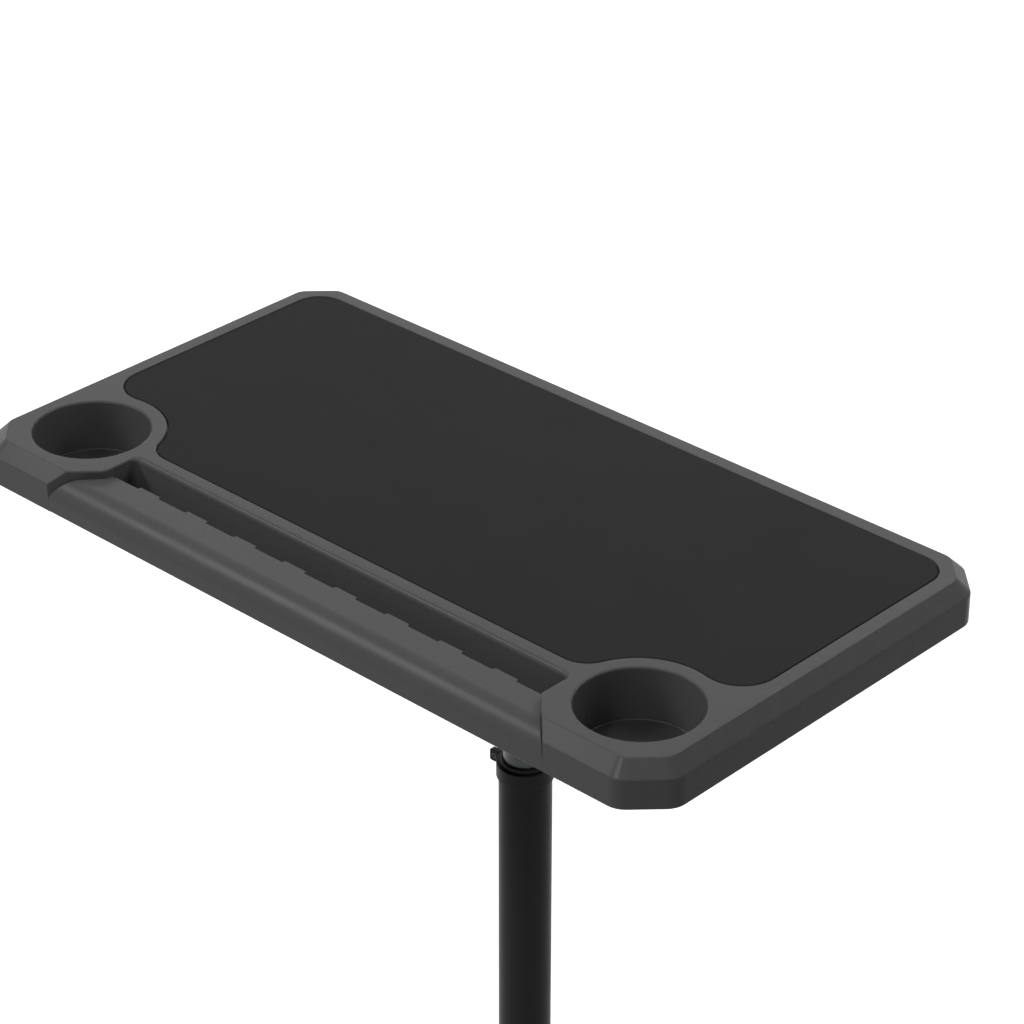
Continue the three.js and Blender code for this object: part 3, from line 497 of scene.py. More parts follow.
class Finish:
    """A material with short ways to add and link nodes; patterns follow the piece."""

    def __init__(self, name, base, roughness, **sockets):
        self.material = bpy.data.materials.new(name)
        self.material.use_nodes = True
        self.tree = self.material.node_tree
        self.inputs = self.tree.nodes["Principled BSDF"].inputs
        self.inputs["Base Color"].default_value = colour(base)
        self.inputs["Roughness"].default_value = roughness
        for socket, value in sockets.items():
            self.inputs[socket.replace("_", " ").title().replace("Ior", "IOR")].default_value = value
        self.coordinates = add_node(self.tree, "ShaderNodeTexCoord").outputs["Object"]

    def noise(self, per_metre, detail, stretch=(1, 1, 1)):
        """Noise with so many cells a metre, drawn out where stretch is small."""
        mapping = add_node(self.tree, "ShaderNodeMapping", [("Scale", stretch)])
        noise = add_node(self.tree, "ShaderNodeTexNoise", [("Scale", per_metre), ("Detail", detail)])
        self.tree.links.new(self.coordinates, mapping.inputs["Vector"])
        self.tree.links.new(mapping.outputs["Vector"], noise.inputs["Vector"])
        return noise.outputs["Fac"]

    def spread(self, value, low, high, from_low=0.3, from_high=0.7):
        """A value from one range into another."""
        limits = zip(("From Min", "From Max", "To Min", "To Max"), (from_low, from_high, low, high))
        node = add_node(self.tree, "ShaderNodeMapRange", limits)
        self.tree.links.new(value, node.inputs["Value"])
        return node.outputs["Result"]


def finish(name, base, roughness, tint, gloss, bumps, **sockets):
    """A material whose colour and roughness drift with noise over layers of fine bumps.

    tint is (noise, dark, light), gloss is (noise, lowest roughness, highest) or None, and a layer of bumps is
    (noise, strength, depth in metres), each on the one before.
    """
    made = Finish(name, base, roughness, **sockets)
    link = made.tree.links.new
    noise, dark, light = tint
    ramp = add_node(made.tree, "ShaderNodeMix", [("A", colour(dark)), ("B", colour(light))], data_type="RGBA")
    link(made.spread(made.noise(*noise), 0, 1), ramp.inputs["Factor"])
    link(ramp.outputs["Result"], made.inputs["Base Color"])
    if gloss:
        noise, smooth, rough = gloss
        link(made.spread(made.noise(*noise), smooth, rough), made.inputs["Roughness"])
    target = made.inputs["Normal"]
    for noise, strength, depth in reversed(bumps):
        bump = add_node(made.tree, "ShaderNodeBump", [("Strength", strength), ("Distance", depth)])
        link(made.noise(*noise), bump.inputs["Height"])
        link(bump.outputs["Normal"], target)
        target = bump.inputs["Normal"]
    return made.material


# Charcoal plastic from a finely etched mould
PLASTIC = finish(
    "moulded_plastic", 72, 0.27, ((9, 3), 71, 73), ((55, 4), 0.25, 0.3), [((2600, 2), 0.15, 0.00004)],
    specular_ior_level=0.045)

# Black rubber with a soft, close grain
MAT_RUBBER = finish(
    "mat_rubber", 34, 0.55, ((14, 4), 33, 35), ((600, 3), 0.52, 0.6), [((1900, 3), 0.3, 0.00006)],
    specular_ior_level=0.025)

# Rubber of the cup pads
PAD_RUBBER = finish(
    "pad_rubber", 52, 0.34, ((60, 4), 50, 54), None, [((1500, 3), 0.2, 0.00005)], specular_ior_level=0.2)

# Near-black plastic of the bush, lever, caps, knobs and pedals
DARK_PLASTIC = finish(
    "dark_plastic", 27, 0.42, ((40, 3), 25, 29), ((120, 4), 0.38, 0.5), [((2200, 2), 0.25, 0.00005)],
    specular_ior_level=0.1)

# Black powder coat: a fine orange peel and a slight sheen
POWDER_COAT = finish(
    "powder_coat", 34, 0.36, ((6, 3), 33, 35), ((35, 3), 0.34, 0.4),
    [((420, 2), 0.3, 0.00012), ((2400, 2), 0.15, 0.00003)], specular_ior_level=0.06)

# Dark drawn steel of the inner tube: long fine streaks and rub marks that run with the tube
DRAWN_STREAKS = (900, 3, (1, 1, 0.012))
TUBE_STEEL = finish(
    "tube_steel", (52, 54, 54), 0.3, (DRAWN_STREAKS, (46, 48, 48), (58, 60, 60)),
    ((160, 4, (1, 1, 0.03)), 0.24, 0.38), [(DRAWN_STREAKS, 0.12, 0.00002)], metallic=0.55)

# Bright zinc plating with a faint mottle
ZINC_STEEL = finish(
    "zinc_steel", (172, 174, 176), 0.3, ((240, 4), (160, 163, 166), (184, 186, 187)), ((420, 4), 0.24, 0.4),
    [((1600, 3), 0.12, 0.00003)], metallic=1.0)

# Black plated steel of the plate and forks, a little uneven in sheen
BLACK_STEEL = finish(
    "black_steel", (50, 51, 52), 0.38, ((70, 4), (44, 45, 46), (57, 58, 59)), ((110, 4), 0.32, 0.46),
    [((900, 3), 0.15, 0.00004)], metallic=0.7)

# Dark grey nylon of the wheel cores
WHEEL_PLASTIC = finish(
    "wheel_plastic", (66, 67, 68), 0.46, ((50, 3), (62, 63, 64), (71, 72, 73)), None,
    [((1700, 2), 0.25, 0.00005)])

# Grey-black tyre rubber with a trace of dust
TYRE_RUBBER = finish(
    "tyre_rubber", (46, 48, 50), 0.62, ((130, 5), (41, 43, 45), (54, 55, 56)), ((220, 4), 0.55, 0.72),
    [((1300, 3), 0.3, 0.00008)])


# Bolts and knobs

BOLT_SOCKET_SHARE = 0.42
BOLT_SOCKET_DEPTH_SHARE = 0.6
KNOB_SCREW_RADIUS = 3
KNOB_NECK_SHARE = 0.7
KNOB_SLOPE_SHARE = 0.3
KNOB_FLUTES = 12
KNOB_STEPS = 144
KNOB_FLUTE_DEPTH = 0.9

# Head height, dome and shank radius of each kind of bolt
PLATE_SCREW = (3.2, 1.8, 2.8)
CLAMP_STUD = (1.5, 0.3, 2)
BASE_BOLT = (5, 2, 4)


def bolt_patches(head_radius, head_height, dome, shank_radius, shank_length):
    """A bolt on Z: a rounded head above z = 0 with a hexagonal socket, and its shank below."""
    socket = circle(head_radius * BOLT_SOCKET_SHARE, steps=6)
    floor = head_height * (1 - BOLT_SOCKET_DEPTH_SHARE)
    face_radius = head_radius - dome * 1.2
    profile = stair(0, -shank_length, shank_radius, 0, head_radius, head_height, face_radius)
    points, faces = lathe(profile, [0, 0.5, 0.1, 0.3, dome, 0], steps=BOLT_STEPS)
    brim = points[-BOLT_STEPS:, :2]
    walls = grid([at_height(socket, head_height), at_height(socket, floor)], wrap_columns=True)
    return [(points, faces), flat(brim, [socket], head_height), walls, flat(socket, z=floor)]


def add_bolt(node, body, axis, turn, head_height, dome, shank_radius, name=None, finish=ZINC_STEEL):
    """A bolt in its node's place: axis is the way it lies, and turn points its head along or against it."""
    low, high = box_mm(node)
    place = (low + high) / 2
    place[axis] = high[axis] - head_height if turn[axis][2] > 0 else low[axis] + head_height
    head_radius = (high[axis - 1] - low[axis - 1]) / 2
    patches = bolt_patches(head_radius, head_height, dome, shank_radius, high[axis] - low[axis] - head_height)
    add_piece(name or f"{node}_zinc", moved(patches, turn, place), finish, body, node)


def add_knob(name, node, body, seat):
    """A fluted knob on Y beyond its seat, with its shank before it, in the place of its node.

    At a turn t the radius r loses depth * (r / radius) ^ 6 * (1 + cos(flutes * t)) / 2.
    """
    low, high = box_mm(node)
    radius = (high[2] - low[2]) / 2
    length = high[1] - seat
    shank_radius = KNOB_SCREW_RADIUS
    shank_length = seat - low[1]
    profile = [*stair(0, -shank_length, shank_radius, 0, radius * KNOB_NECK_SHARE),
               [radius, length * KNOB_SLOPE_SHARE], [radius, length], [0, length]]
    section = open_line(profile, [0, 0.5, 0.1, 0.6, 1, 1.4, 0], 5)
    angle = 2 * pi * np.arange(KNOB_STEPS) / KNOB_STEPS
    r = section[:, :1]
    r = r - KNOB_FLUTE_DEPTH * (r / radius) ** 6 * (1 + np.cos(KNOB_FLUTES * angle)) / 2
    knob = grid(swung(r, angle, section[:, 1:]), wrap_columns=True)
    add_piece(name, moved([knob], ALONG_Y, (0, seat, (high[2] + low[2]) / 2)), DARK_PLASTIC, body, node)


# Moulded top

def rim_section(depth=0.0):
    """Rim, bevel and skirt as (inset, height) points, drawn in by a depth; fillets lose that depth."""
    corners = drawn_in(np.array(RIM_SECTION) * [-1, 1], depth)
    return open_line(corners, EDGE_FILLET - depth) * [-1, 1]


def front_cut():
    """Where the rim, bevel and skirt meet the roll's right end: a ball's centres, both normals and radii.

    The centre is the section drawn in by the ball's radius r; across, it lies r * sqrt 2 past the 45 degree
    cut. The radius fades to almost nothing on the skirt, where the roll is flush with it.
    """
    outer = rim_section()
    out = (outer - rim_section(SLOT_END_EDGE)) / SLOT_END_EDGE
    radius = np.interp(outer[:, 1], SEAM_FADE_Z, (SEAM_EDGE, SLOT_END_EDGE))
    inner = outer - out * radius[:, None]
    y = FRONT_Y + inner[:, 0]
    x = SLOT_HALF + np.maximum(0, END_CUT_Y - y) + radius * sqrt(2)
    centre = np.stack([x, y, inner[:, 1]], 1)
    surface = np.column_stack([np.zeros(len(out)), out])
    wall = np.broadcast_to([-sqrt(0.5), -sqrt(0.5), 0], surface.shape)
    return centre, surface, wall, radius


def between(first, second, share):
    """Unit vectors turned from first to second by a share of the angle between them."""
    angle = np.arccos(np.clip((first * second).sum(-1, keepdims=True), -1, 1))
    return (np.sin((1 - share) * angle) * first + np.sin(share * angle) * second) / np.sin(angle)


def mirrored(points):
    """Points on the other side of the middle, in reverse order."""
    return np.asarray(points)[::-1] * [-1, 1, 1]


def slot_edge():
    """The rounded edge of the front cuts and the slot, right to left: arcs about a rolling ball's centres.

    Each arc turns from the normal of the face above to the normal of the wall. Along the slot the ball is
    larger at the rear and changes its size in the rear corners.
    """
    centre, surface, wall, cut_radius = front_cut()
    corners = [centre[0, :2] - SLOT_END_EDGE * sqrt(0.5), [SLOT_HALF, END_CUT_Y], [SLOT_HALF, SLOT_BACK_Y]]
    corners += [[-x, y] for x, y in corners[::-1]]
    radii = [0, END_TURN_RADIUS, SLOT_CORNER, SLOT_CORNER, END_TURN_RADIUS, 0]
    path, along = rounded(corners, radii, 9, closed=False)
    into = right_of(along)
    lean = np.abs(along[:, 0])
    inner_corner = np.array([SLOT_HALF, SLOT_BACK_Y]) - SLOT_CORNER - SMALL
    in_corner = (np.abs(path[:, 0]) > inner_corner[0]) & (path[:, 1] > inner_corner[1])
    radius = np.where(lean > 0.999, SLOT_REAR_EDGE, SLOT_END_EDGE)
    radius = np.where(in_corner, SLOT_END_EDGE + (SLOT_REAR_EDGE - SLOT_END_EDGE) * lean, radius)
    path_centre = at_height(path + into * radius[:, None], -radius)
    up = np.broadcast_to([0, 0, 1.0], path_centre.shape)

    def joined(front, middle):
        return np.concatenate([front[::-1], middle[1:-1], mirrored(front[::-1])])

    from_normal = joined(surface, up)
    to_normal = joined(wall, at_height(-into, 0))
    radii = np.concatenate([cut_radius[::-1], radius[1:-1], cut_radius])
    share = np.linspace(0, 1, ARC_STEPS + 1)[:, None, None]
    return joined(centre, path_centre) + between(from_normal, to_normal, share) * radii[:, None]


def deck_underside(plan):
    """Points under the deck: level, and sloping down behind the front bevel as the inset shrinks."""
    inset = plan[:, 1] - FRONT_Y
    z = np.interp(inset, (SKIRT_WALL, BEVEL_WIDTH + SKIRT_WALL), (-BEVEL_DROP - SKIRT_WALL, DECK_BOTTOM))
    return at_height(plan[:, :2], z)


def slot_patches(wall_plan):
    """The device slot inside its walls: ends, rear and floor with a fillet between, and the front wall."""
    near = wall_plan[wall_plan[:, 1] > SLOT_FRONT_Y]
    tub = np.concatenate([[[SLOT_HALF, SLOT_FRONT_Y]], near, [[-SLOT_HALF, SLOT_FRONT_Y]]])
    inward = -right_of(unit(np.gradient(tub, axis=0)))
    inward[[0, -1]] = [[-1, 0], [1, 0]]
    fillet = quarter_round(SLOT_FLOOR_FILLET)
    rows = [at_height(tub + inward * inset, SLOT_FLOOR + rise) for rise, inset in fillet]
    wall_top = LIP_TOP - LIP_THICKNESS - SEAT_GAP
    trough_y = SLOT_FRONT_Y - SLOT_WALL
    floor_end = SLOT_FRONT_Y + SLOT_FLOOR_FILLET
    corners = stair(floor_end, SLOT_FLOOR, SLOT_FRONT_Y, wall_top, trough_y, -THICKNESS)
    section = open_line(corners, [0, SLOT_FLOOR_FILLET, 0.8, 0.8, 0], 4)
    front_wall = grid([np.column_stack([np.full(len(section), x), section]) for x in (-SLOT_HALF, SLOT_HALF)])
    return [grid(rows), flat(rows[-1][:, :2], z=SLOT_FLOOR), front_wall]


def cup_patches():
    """The cups: rounded lip, tapered wall and filleted floor, and the outside of each below the deck."""
    lip = arc_points((CUP_RADIUS + CUP_LIP, -CUP_LIP), CUP_LIP, pi / 2, pi, 6)
    bowl = open_line([[CUP_RADIUS, -CUP_LIP], [CUP_FLOOR_RADIUS, -CUP_DEPTH], [0.5, -CUP_DEPTH]],
                     [0, CUP_FLOOR_FILLET, 0], 8)
    inside = np.concatenate([lip, bowl[1:-1]])
    foot = -CUP_DEPTH - CUP_WALL
    outside = open_line([[CUP_RADIUS + CUP_WALL, DECK_BOTTOM], [CUP_FLOOR_RADIUS + CUP_WALL, foot],
                         [CUP_FOOT_FLAT, foot]], [0, CUP_FOOT_FILLET, 0], 6)
    patches = []
    for middle in CUP_MIDDLES:
        patches += [turned(inside, centre=middle), turned(outside, centre=middle)]
        for radius, z in ((inside[-1, 0], -CUP_DEPTH), (CUP_FOOT_FLAT, foot)):
            patches.append(flat(circle(radius, middle), z=z))
    return patches


def recess_patches():
    """The recess for the mat, with a rounded upper edge."""
    rows = [at_height(mat_plan(MAT_GAP + inset), -drop) for inset, drop in quarter_round(RECESS_EDGE)]
    rows.append(at_height(mat_plan(MAT_GAP), -RECESS_DEPTH))
    return [grid(rows, wrap_columns=True), flat(mat_plan(MAT_GAP), z=-RECESS_DEPTH)]


def tray_patches():
    """The moulded top as one closed skin: shell, slot, cups and recess, and both sides of the deck."""
    section = rim_section()
    ends = front_cut()[0][:, 0]
    foot = open_line([[0, -THICKNESS + FOOT_FILLET], [0, -THICKNESS], [SKIRT_WALL, -THICKNESS],
                      [SKIRT_WALL, -BEVEL_DROP - SKIRT_WALL], [BEVEL_WIDTH + SKIRT_WALL, DECK_BOTTOM]],
                     [0, FOOT_FILLET, FOOT_FILLET, SHOULDER_FILLET, 0], 4)
    outside = np.concatenate([section[:-1], foot[:1]])
    rows = [at_height(desk_plan(inset, x), z) for (inset, z), x in zip(outside, ends)]
    rows += [at_height(desk_plan(inset, ends[-1]), z) for inset, z in foot[1:]]

    # Walls below the rounded edge, their back, and the foot that joins both sides of them
    edge = slot_edge()
    wall_plan = edge[-1][:, :2]
    walls = grid([edge[-1], at_height(wall_plan, -THICKNESS)])
    back = wall_plan + right_of(unit(np.gradient(wall_plan, axis=0))) * SLOT_WALL
    back_strip = grid([at_height(back, -THICKNESS), deck_underside(back)])
    trough_y = SLOT_FRONT_Y - SLOT_WALL
    front_part = wall_plan[:, 1] < trough_y
    right_part = wall_plan[front_part & (wall_plan[:, 0] > 0)]
    left_part = wall_plan[front_part & (wall_plan[:, 0] < 0)]
    trough_ends = [[SLOT_HALF, trough_y], [-SLOT_HALF, trough_y]]
    under = flat(np.concatenate([back[::-1], right_part, trough_ends, left_part]), z=-THICKNESS)

    # Rim face and the underside of the deck
    rim_line = edge[0, len(section):-len(section), :2]
    lips = [circle(CUP_RADIUS + CUP_LIP, middle) for middle in CUP_MIDDLES]
    recess_line = mat_plan(MAT_GAP + RECESS_EDGE)
    rim_face = flat(np.concatenate([rows[0][:, :2], rim_line[::-1]]), [recess_line, *lips])
    wells = [circle(CUP_RADIUS + CUP_WALL, middle) for middle in CUP_MIDDLES]
    deck_points, deck_faces = flat(np.concatenate([rows[-1][:, :2], back[::-1]]), wells)
    deck = (deck_underside(deck_points), deck_faces)
    return [grid(rows), grid(edge), walls, *slot_patches(wall_plan), back_strip, under, *cup_patches(),
            *recess_patches(), rim_face, deck]


# Ribs and bosses under the top; they run up into the deck and belong to the moulding

RIB_THICKNESS = 2.6
RIB_DRAFT = 0.3
RIB_TOP = -4.6
RIB_BOTTOM = -26
RIB_PITCH = 62
RIBS_EACH_SIDE = 4
BOSS_SPREAD_Y = 40
BOSS_RADIUS = 8
BOSS_PILOT = 2.6


def rib_patches():
    """The ribs: upright plates whose ends follow the inside of the skirt and bevel, and four round bosses."""
    inset = SKIRT_WALL / 2
    shoulder = BEVEL_DROP + inset
    rear_slot_wall = SLOT_BACK_Y + SLOT_WALL
    boss_rows = (POST_Y - BOSS_SPREAD_Y, POST_Y + BOSS_SPREAD_Y)
    half = RIB_THICKNESS / 2

    def upright(start, end, start_is_skirt):
        taper = (shoulder + RIB_TOP) * BEVEL_WIDTH / BEVEL_DROP
        return outline_plan(
            [[start + taper * start_is_skirt, -RIB_TOP], [end - taper, -RIB_TOP], [end, shoulder],
             [end, -RIB_BOTTOM], [start, -RIB_BOTTOM], [start, shoulder]], 0.3, 2)

    patches = []
    across = upright(inset - HALF_X, HALF_X - inset, 1)
    front_rib = (rear_slot_wall + boss_rows[0]) / 2
    rear_rib = (boss_rows[1] + HALF_Y) / 2
    for y in (front_rib, boss_rows[0], POST_Y, boss_rows[1], rear_rib):
        patches += moved(slab(across, -half, half, RIB_DRAFT, 2), ALONG_Y, (0, y, 0))
    for step in range(1, RIBS_EACH_SIDE + 1):
        x = step * RIB_PITCH
        beside_cup = abs(x - CUP_X) < CUP_RADIUS
        start = CUP_Y + CUP_RADIUS + CUP_WALL / 3 if beside_cup else rear_slot_wall - SLOT_WALL / 2
        rib = slab(upright(start, HALF_Y - inset, 0), -half, half, RIB_DRAFT, 2)
        for side in (-1, 1):
            patches += moved(rib, ACROSS_DOWN, (side * x, 0, 0))
    boss = stair(BOSS_PILOT, RIB_BOTTOM, BOSS_RADIUS, RIB_TOP, BOSS_PILOT)
    for x in (-RIB_PITCH, RIB_PITCH):
        for y in boss_rows:
            patches.append(lathe(boss, [0.3, 0.5, 0.1, 0.1], True, BOLT_STEPS, (x, y)))
    return patches


def add_to_desk(name, patches, finish, node, slot=None):
    """A piece of the desktop, made in the desktop's own frame."""
    add_piece(name, moved(patches, offset=desk_origin), finish, "desktop", node, slot)


add_to_desk("moulded_top", tray_patches() + rib_patches(), PLASTIC, "top_tray")


# Front roll

def notch_cut(x):
    """How far the lip is cut back at a place along it: a smooth step down and up at each notch."""
    place = np.clip(np.round(x / NOTCH_PITCH), -(NOTCHES // 2), NOTCHES // 2) * NOTCH_PITCH
    share = np.clip((NOTCH_WIDTH / 2 + NOTCH_RAMP / 2 - np.abs(x - place)) / NOTCH_RAMP, 0, 1)
    return NOTCH_DEPTH * share * share * (3 - 2 * share)


def roll_section():
    """The roll's closed section as (y, z) points and outward normals, counterclockwise from the lip's root.

    The nose is a quarter of the curve (y / a) ^ p + (z / b) ^ p = 1, fuller than a bevel and leaner than an
    ellipse, and another inside, one wall smaller. With u = y / a and v = z / b its normal is
    (u ^ (p - 1) / a, v ^ (p - 1) / b) made unit length.
    """
    under = LIP_TOP - LIP_THICKNESS
    shoulder_z = LIP_TOP - ROLL_SHOULDER
    radii = [0, ROLL_EDGE, ROLL_EDGE, 0]
    lip_corners = stair(LIP_ROOT_Y, under, LIP_EDGE_Y, LIP_TOP, ROLL_FLAT_END_Y + ROLL_OVERLAP)
    lip, lip_along = rounded(lip_corners, radii, 5, closed=False)
    foot_top = shoulder_z - ROLL_OVERLAP
    foot_corners = [[FRONT_Y, foot_top], *stair(FRONT_Y, -THICKNESS, FRONT_Y + ROLL_WALL, foot_top)]
    foot, foot_along = rounded(foot_corners, radii, 5, closed=False)
    a = np.linspace(0, pi / 2, 28)
    share = np.stack([np.sin(a), np.cos(a)], 1) ** (2 / ROLL_NOSE_POWER)
    arm = share * [-1, 1]
    slope = share ** (ROLL_NOSE_POWER - 1) * [-1, 1]
    centre = [ROLL_FLAT_END_Y, shoulder_z]
    outer_size = np.array([ROLL_NOSE, ROLL_SHOULDER])
    inner_size = outer_size - ROLL_WALL
    points = np.concatenate([lip, centre + arm * outer_size, foot, centre + arm[::-1] * inner_size])
    normals = np.concatenate([
        right_of(lip_along), unit(slope / outer_size), right_of(foot_along), -unit(slope[::-1] / inner_size),
    ])
    return points, normals


def roll_end(y, gap):
    """Half length of the roll where it keeps a gap to the slot's wall, and the wall's direction there.

    Beside the slot x is constant; then it follows an arc about a point in the wall, then a 45 degree line.
    """
    radius = END_TURN_RADIUS + gap
    arc_y = END_CUT_Y + END_TURN_RADIUS * tan(pi / 8)
    lean = np.clip((arc_y - y) / radius, 0, sin(pi / 4))
    upright = np.sqrt(1 - lean * lean)
    x = SLOT_HALF + END_TURN_RADIUS - radius * upright
    x = x + np.maximum(arc_y - radius * sin(pi / 4) - y, 0)
    return x, np.stack([upright, lean, np.zeros_like(lean)], -1)


def roll_patches():
    """The roll: its closed section at stations along it, with rounded ends that follow the slot's wall.

    An end's edge is the arc of a rolling ball: its centre is the section drawn in by the radius, at the same
    distance from the end, and the point turns from the section's normal to the end's. The radius fades on the
    upright front, which is flush with the skirt.
    """
    section, out = roll_section()
    lip_edge = section[:, 0] > LIP_EDGE_Y - LIP_EDGE_DEPTH
    notches = (np.arange(NOTCHES) - NOTCHES // 2)[:, None] * NOTCH_PITCH
    sides = NOTCH_WIDTH / 2 + np.linspace(-NOTCH_RAMP / 2, NOTCH_RAMP / 2, 7)
    stations = np.sort(np.concatenate([notches + sides, notches - sides], None))
    stations = stations[np.abs(stations) < SLOT_HALF - ROLL_END_ZONE]
    body = np.zeros((len(stations), len(section), 3))
    body[..., 0] = stations[:, None]
    body[..., 1] = section[:, 0] - notch_cut(stations)[:, None] * lip_edge
    body[..., 2] = section[:, 1]
    radius = np.interp(section[:, 1], ROLL_SEAM_Z, (SEAM_EDGE, ROLL_END_EDGE))
    inner = section - radius[:, None] * out
    inner[:, 0] -= NOTCH_DEPTH * lip_edge
    x, end_normal = roll_end(inner[:, 0], ROLL_END_GAP + radius)
    side_normal = np.column_stack([np.zeros(len(out)), out])
    share = np.linspace(0, 1, 6)[:, None, None]
    right = np.column_stack([x, inner]) + between(side_normal, end_normal, share) * radius[:, None]
    points, faces = flat(right[-1][:, 1:])
    cap_x, _ = roll_end(points[:, 0], ROLL_END_GAP)
    caps = [(np.column_stack([side * cap_x, points[:, :2]]), faces) for side in (-1, 1)]
    hook_y = SLOT_FRONT_Y - SLOT_WALL - SEAT_GAP
    hook_low = LIP_TOP - LIP_THICKNESS - ROLL_HOOK_DEPTH
    hook_plan = box_plan(hook_y - ROLL_WALL, hook_y, hook_low, LIP_TOP - LIP_THICKNESS / 2, ROLL_EDGE)
    hook_half = SLOT_HALF - HOOK_END_GAP
    hook = moved(slab(hook_plan, -hook_half, hook_half, ROLL_EDGE / 2), ALONG_X)
    return [grid(np.concatenate([mirrored(right), body, right]), wrap_columns=True), *caps, *hook]


add_to_desk("front_roll_skin", roll_patches(), PLASTIC, "front_roll", "roll_skin")


# Mat and cup pads

def mat_patches():
    """The mat: its outline with a rounded upper edge."""
    rows = [at_height(mat_plan(0), MAT_BOTTOM)]
    rows += [at_height(mat_plan(-inset), MAT_TOP - drop) for drop, inset in quarter_round(MAT_EDGE)]
    faces = [flat(mat_plan(-MAT_EDGE), z=MAT_TOP), flat(mat_plan(0), z=MAT_BOTTOM)]
    return [grid(rows, wrap_columns=True), *faces]


def pad_patches(middle):
    """A round cup pad with a raised bead along its edge."""
    inner = PAD_RADIUS - 2 * PAD_BEAD
    high = PAD_TOP + PAD_BEAD
    corners = stair(PAD_MIDDLE, PAD_BOTTOM, PAD_RADIUS, high, inner, PAD_TOP, PAD_MIDDLE)
    section = open_line(corners, [0, 0.2, PAD_BEAD, PAD_BEAD, 0.2, 0], 6)
    middles = [flat(circle(PAD_MIDDLE, middle), z=z) for z in (PAD_BOTTOM, PAD_TOP)]
    return [turned(section, centre=middle), *middles]


add_to_desk("rubber_mat", mat_patches(), MAT_RUBBER, "work_mat")
for middle, side in zip(CUP_MIDDLES, ("left", "right")):
    add_to_desk(f"cup_pad_rubber_{side}", pad_patches(middle), PAD_RUBBER, f"cup_pad_{side}")


# Plate, socket and inner tube

PLATE_CORNER = 6
PLATE_EDGE = 0.5
SOCKET_FLANGE = 4
SOCKET_WALL = 3.8
WELD_RADIUS = 3
TUBE_WALL = 1.5
TUBE_EDGE = 0.35
GLIDE_HEIGHT = 22
RUNNING_GAP = 0.35


def round_sizes(node):
    """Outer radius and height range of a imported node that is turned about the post."""
    low, high = box_mm(node)
    return (high[0] - low[0]) / 2, low[2], high[2]


plate = bar(*box_mm("mounting_plate"), UPRIGHT, PLATE_CORNER, PLATE_EDGE)
add_piece("steel_plate", plate, BLACK_STEEL, "desktop", "mounting_plate")
for number in range(1, 5):
    add_bolt(f"plate_screw_{number}", "desktop", 2, DOWN, *PLATE_SCREW)

inner_radius, tube_low, tube_high = round_sizes("inner_tube")
flange_radius, low, high = round_sizes("tube_socket")
socket_bore = inner_radius + SEAT_GAP
socket_outer = socket_bore + SOCKET_WALL
flange_low = high - SOCKET_FLANGE
socket_corners = stair(socket_bore, low, socket_outer, flange_low, flange_radius, high, socket_bore)
socket = lathe(socket_corners, [0.4, 0.6, WELD_RADIUS, 0.6, 0.5, 0.4], True)
add_piece("welded_socket", [socket], POWDER_COAT, "desktop", "tube_socket")
add_knob("socket_knob", "socket_set_screw", "desktop", socket_outer + SEAT_GAP)
inner_bore = inner_radius - TUBE_WALL
inner_tube = lathe(stair(inner_bore, tube_low, inner_radius, tube_high, inner_bore), TUBE_EDGE, True)
add_piece("drawn_inner_tube", [inner_tube], TUBE_STEEL, "desktop", "inner_tube")
glide_radius, low, high = round_sizes("inner_tube_glide")
glide_top = low + GLIDE_HEIGHT - SEAT_GAP
glide_corners = stair(0, low, glide_radius, glide_top, inner_bore - SEAT_GAP, high, 0)
glide = lathe(glide_corners, [0, 1.2, 0.8, 0.3, 0.8, 0])
add_piece("glide", [glide], DARK_PLASTIC, "desktop", "inner_tube_glide")


# Outer tube, bush and clamp

SLIT_WIDTH = 3
SLIT_LENGTH = 42
BUSH_FLANGE_HEIGHT = 3.4
COLLAR_WALL = 1.4
COLLAR_FOOT = 4.4
COLLAR_FOOT_WALL = 0.2
EAR_THICKNESS = 4.4
EAR_HEIGHT = 9.4
EAR_GAP = 3
EAR_CORNER = 1.6
EAR_HOLE = 3.1
STUD_RADIUS = 2.5
CAM_RADIUS = 7.5
LEVER_THICKNESS = 6
LEVER_EDGE = 0.9
LEVER_CLEARANCE = 2.6


def slit_pipe(inner, outer, low, high):
    """A tube on Z whose upper part is slit on the -X side.

    Below are full turns, and above them a turn that leaves the slit's half angle free on each side. Flat
    walls and a floor close the slit.
    """
    slit_low = high - SLIT_LENGTH
    half_turn = SLIT_WIDTH / 2 / outer
    open_turn = np.linspace(half_turn - pi, pi - half_turn, FULL_STEPS + 1)
    slit_turn = np.linspace(pi - half_turn, pi + half_turn, 5)
    full_turn = np.concatenate([open_turn, slit_turn[1:-1]])

    def swept(section, angle, wrap=False):
        return grid(swung(section[:, :1], angle, section[:, 1:]), wrap_columns=wrap)

    radii = [0, TUBE_EDGE, TUBE_EDGE, 0]
    lower = open_line([[outer, slit_low], *stair(outer, low, inner, slit_low)], radii, 4)
    upper = open_line([[inner, slit_low], *stair(inner, high, outer, slit_low)], radii, 4)
    points, faces = flat(upper)
    walls = [(swung(points[:, 0], angle, points[:, 1]), faces) for angle in (open_turn[0], open_turn[-1])]
    floor = swept(np.array([[inner, slit_low], [outer, slit_low]]), slit_turn)
    return [swept(lower, full_turn, True), swept(upper, open_turn), *walls, floor]


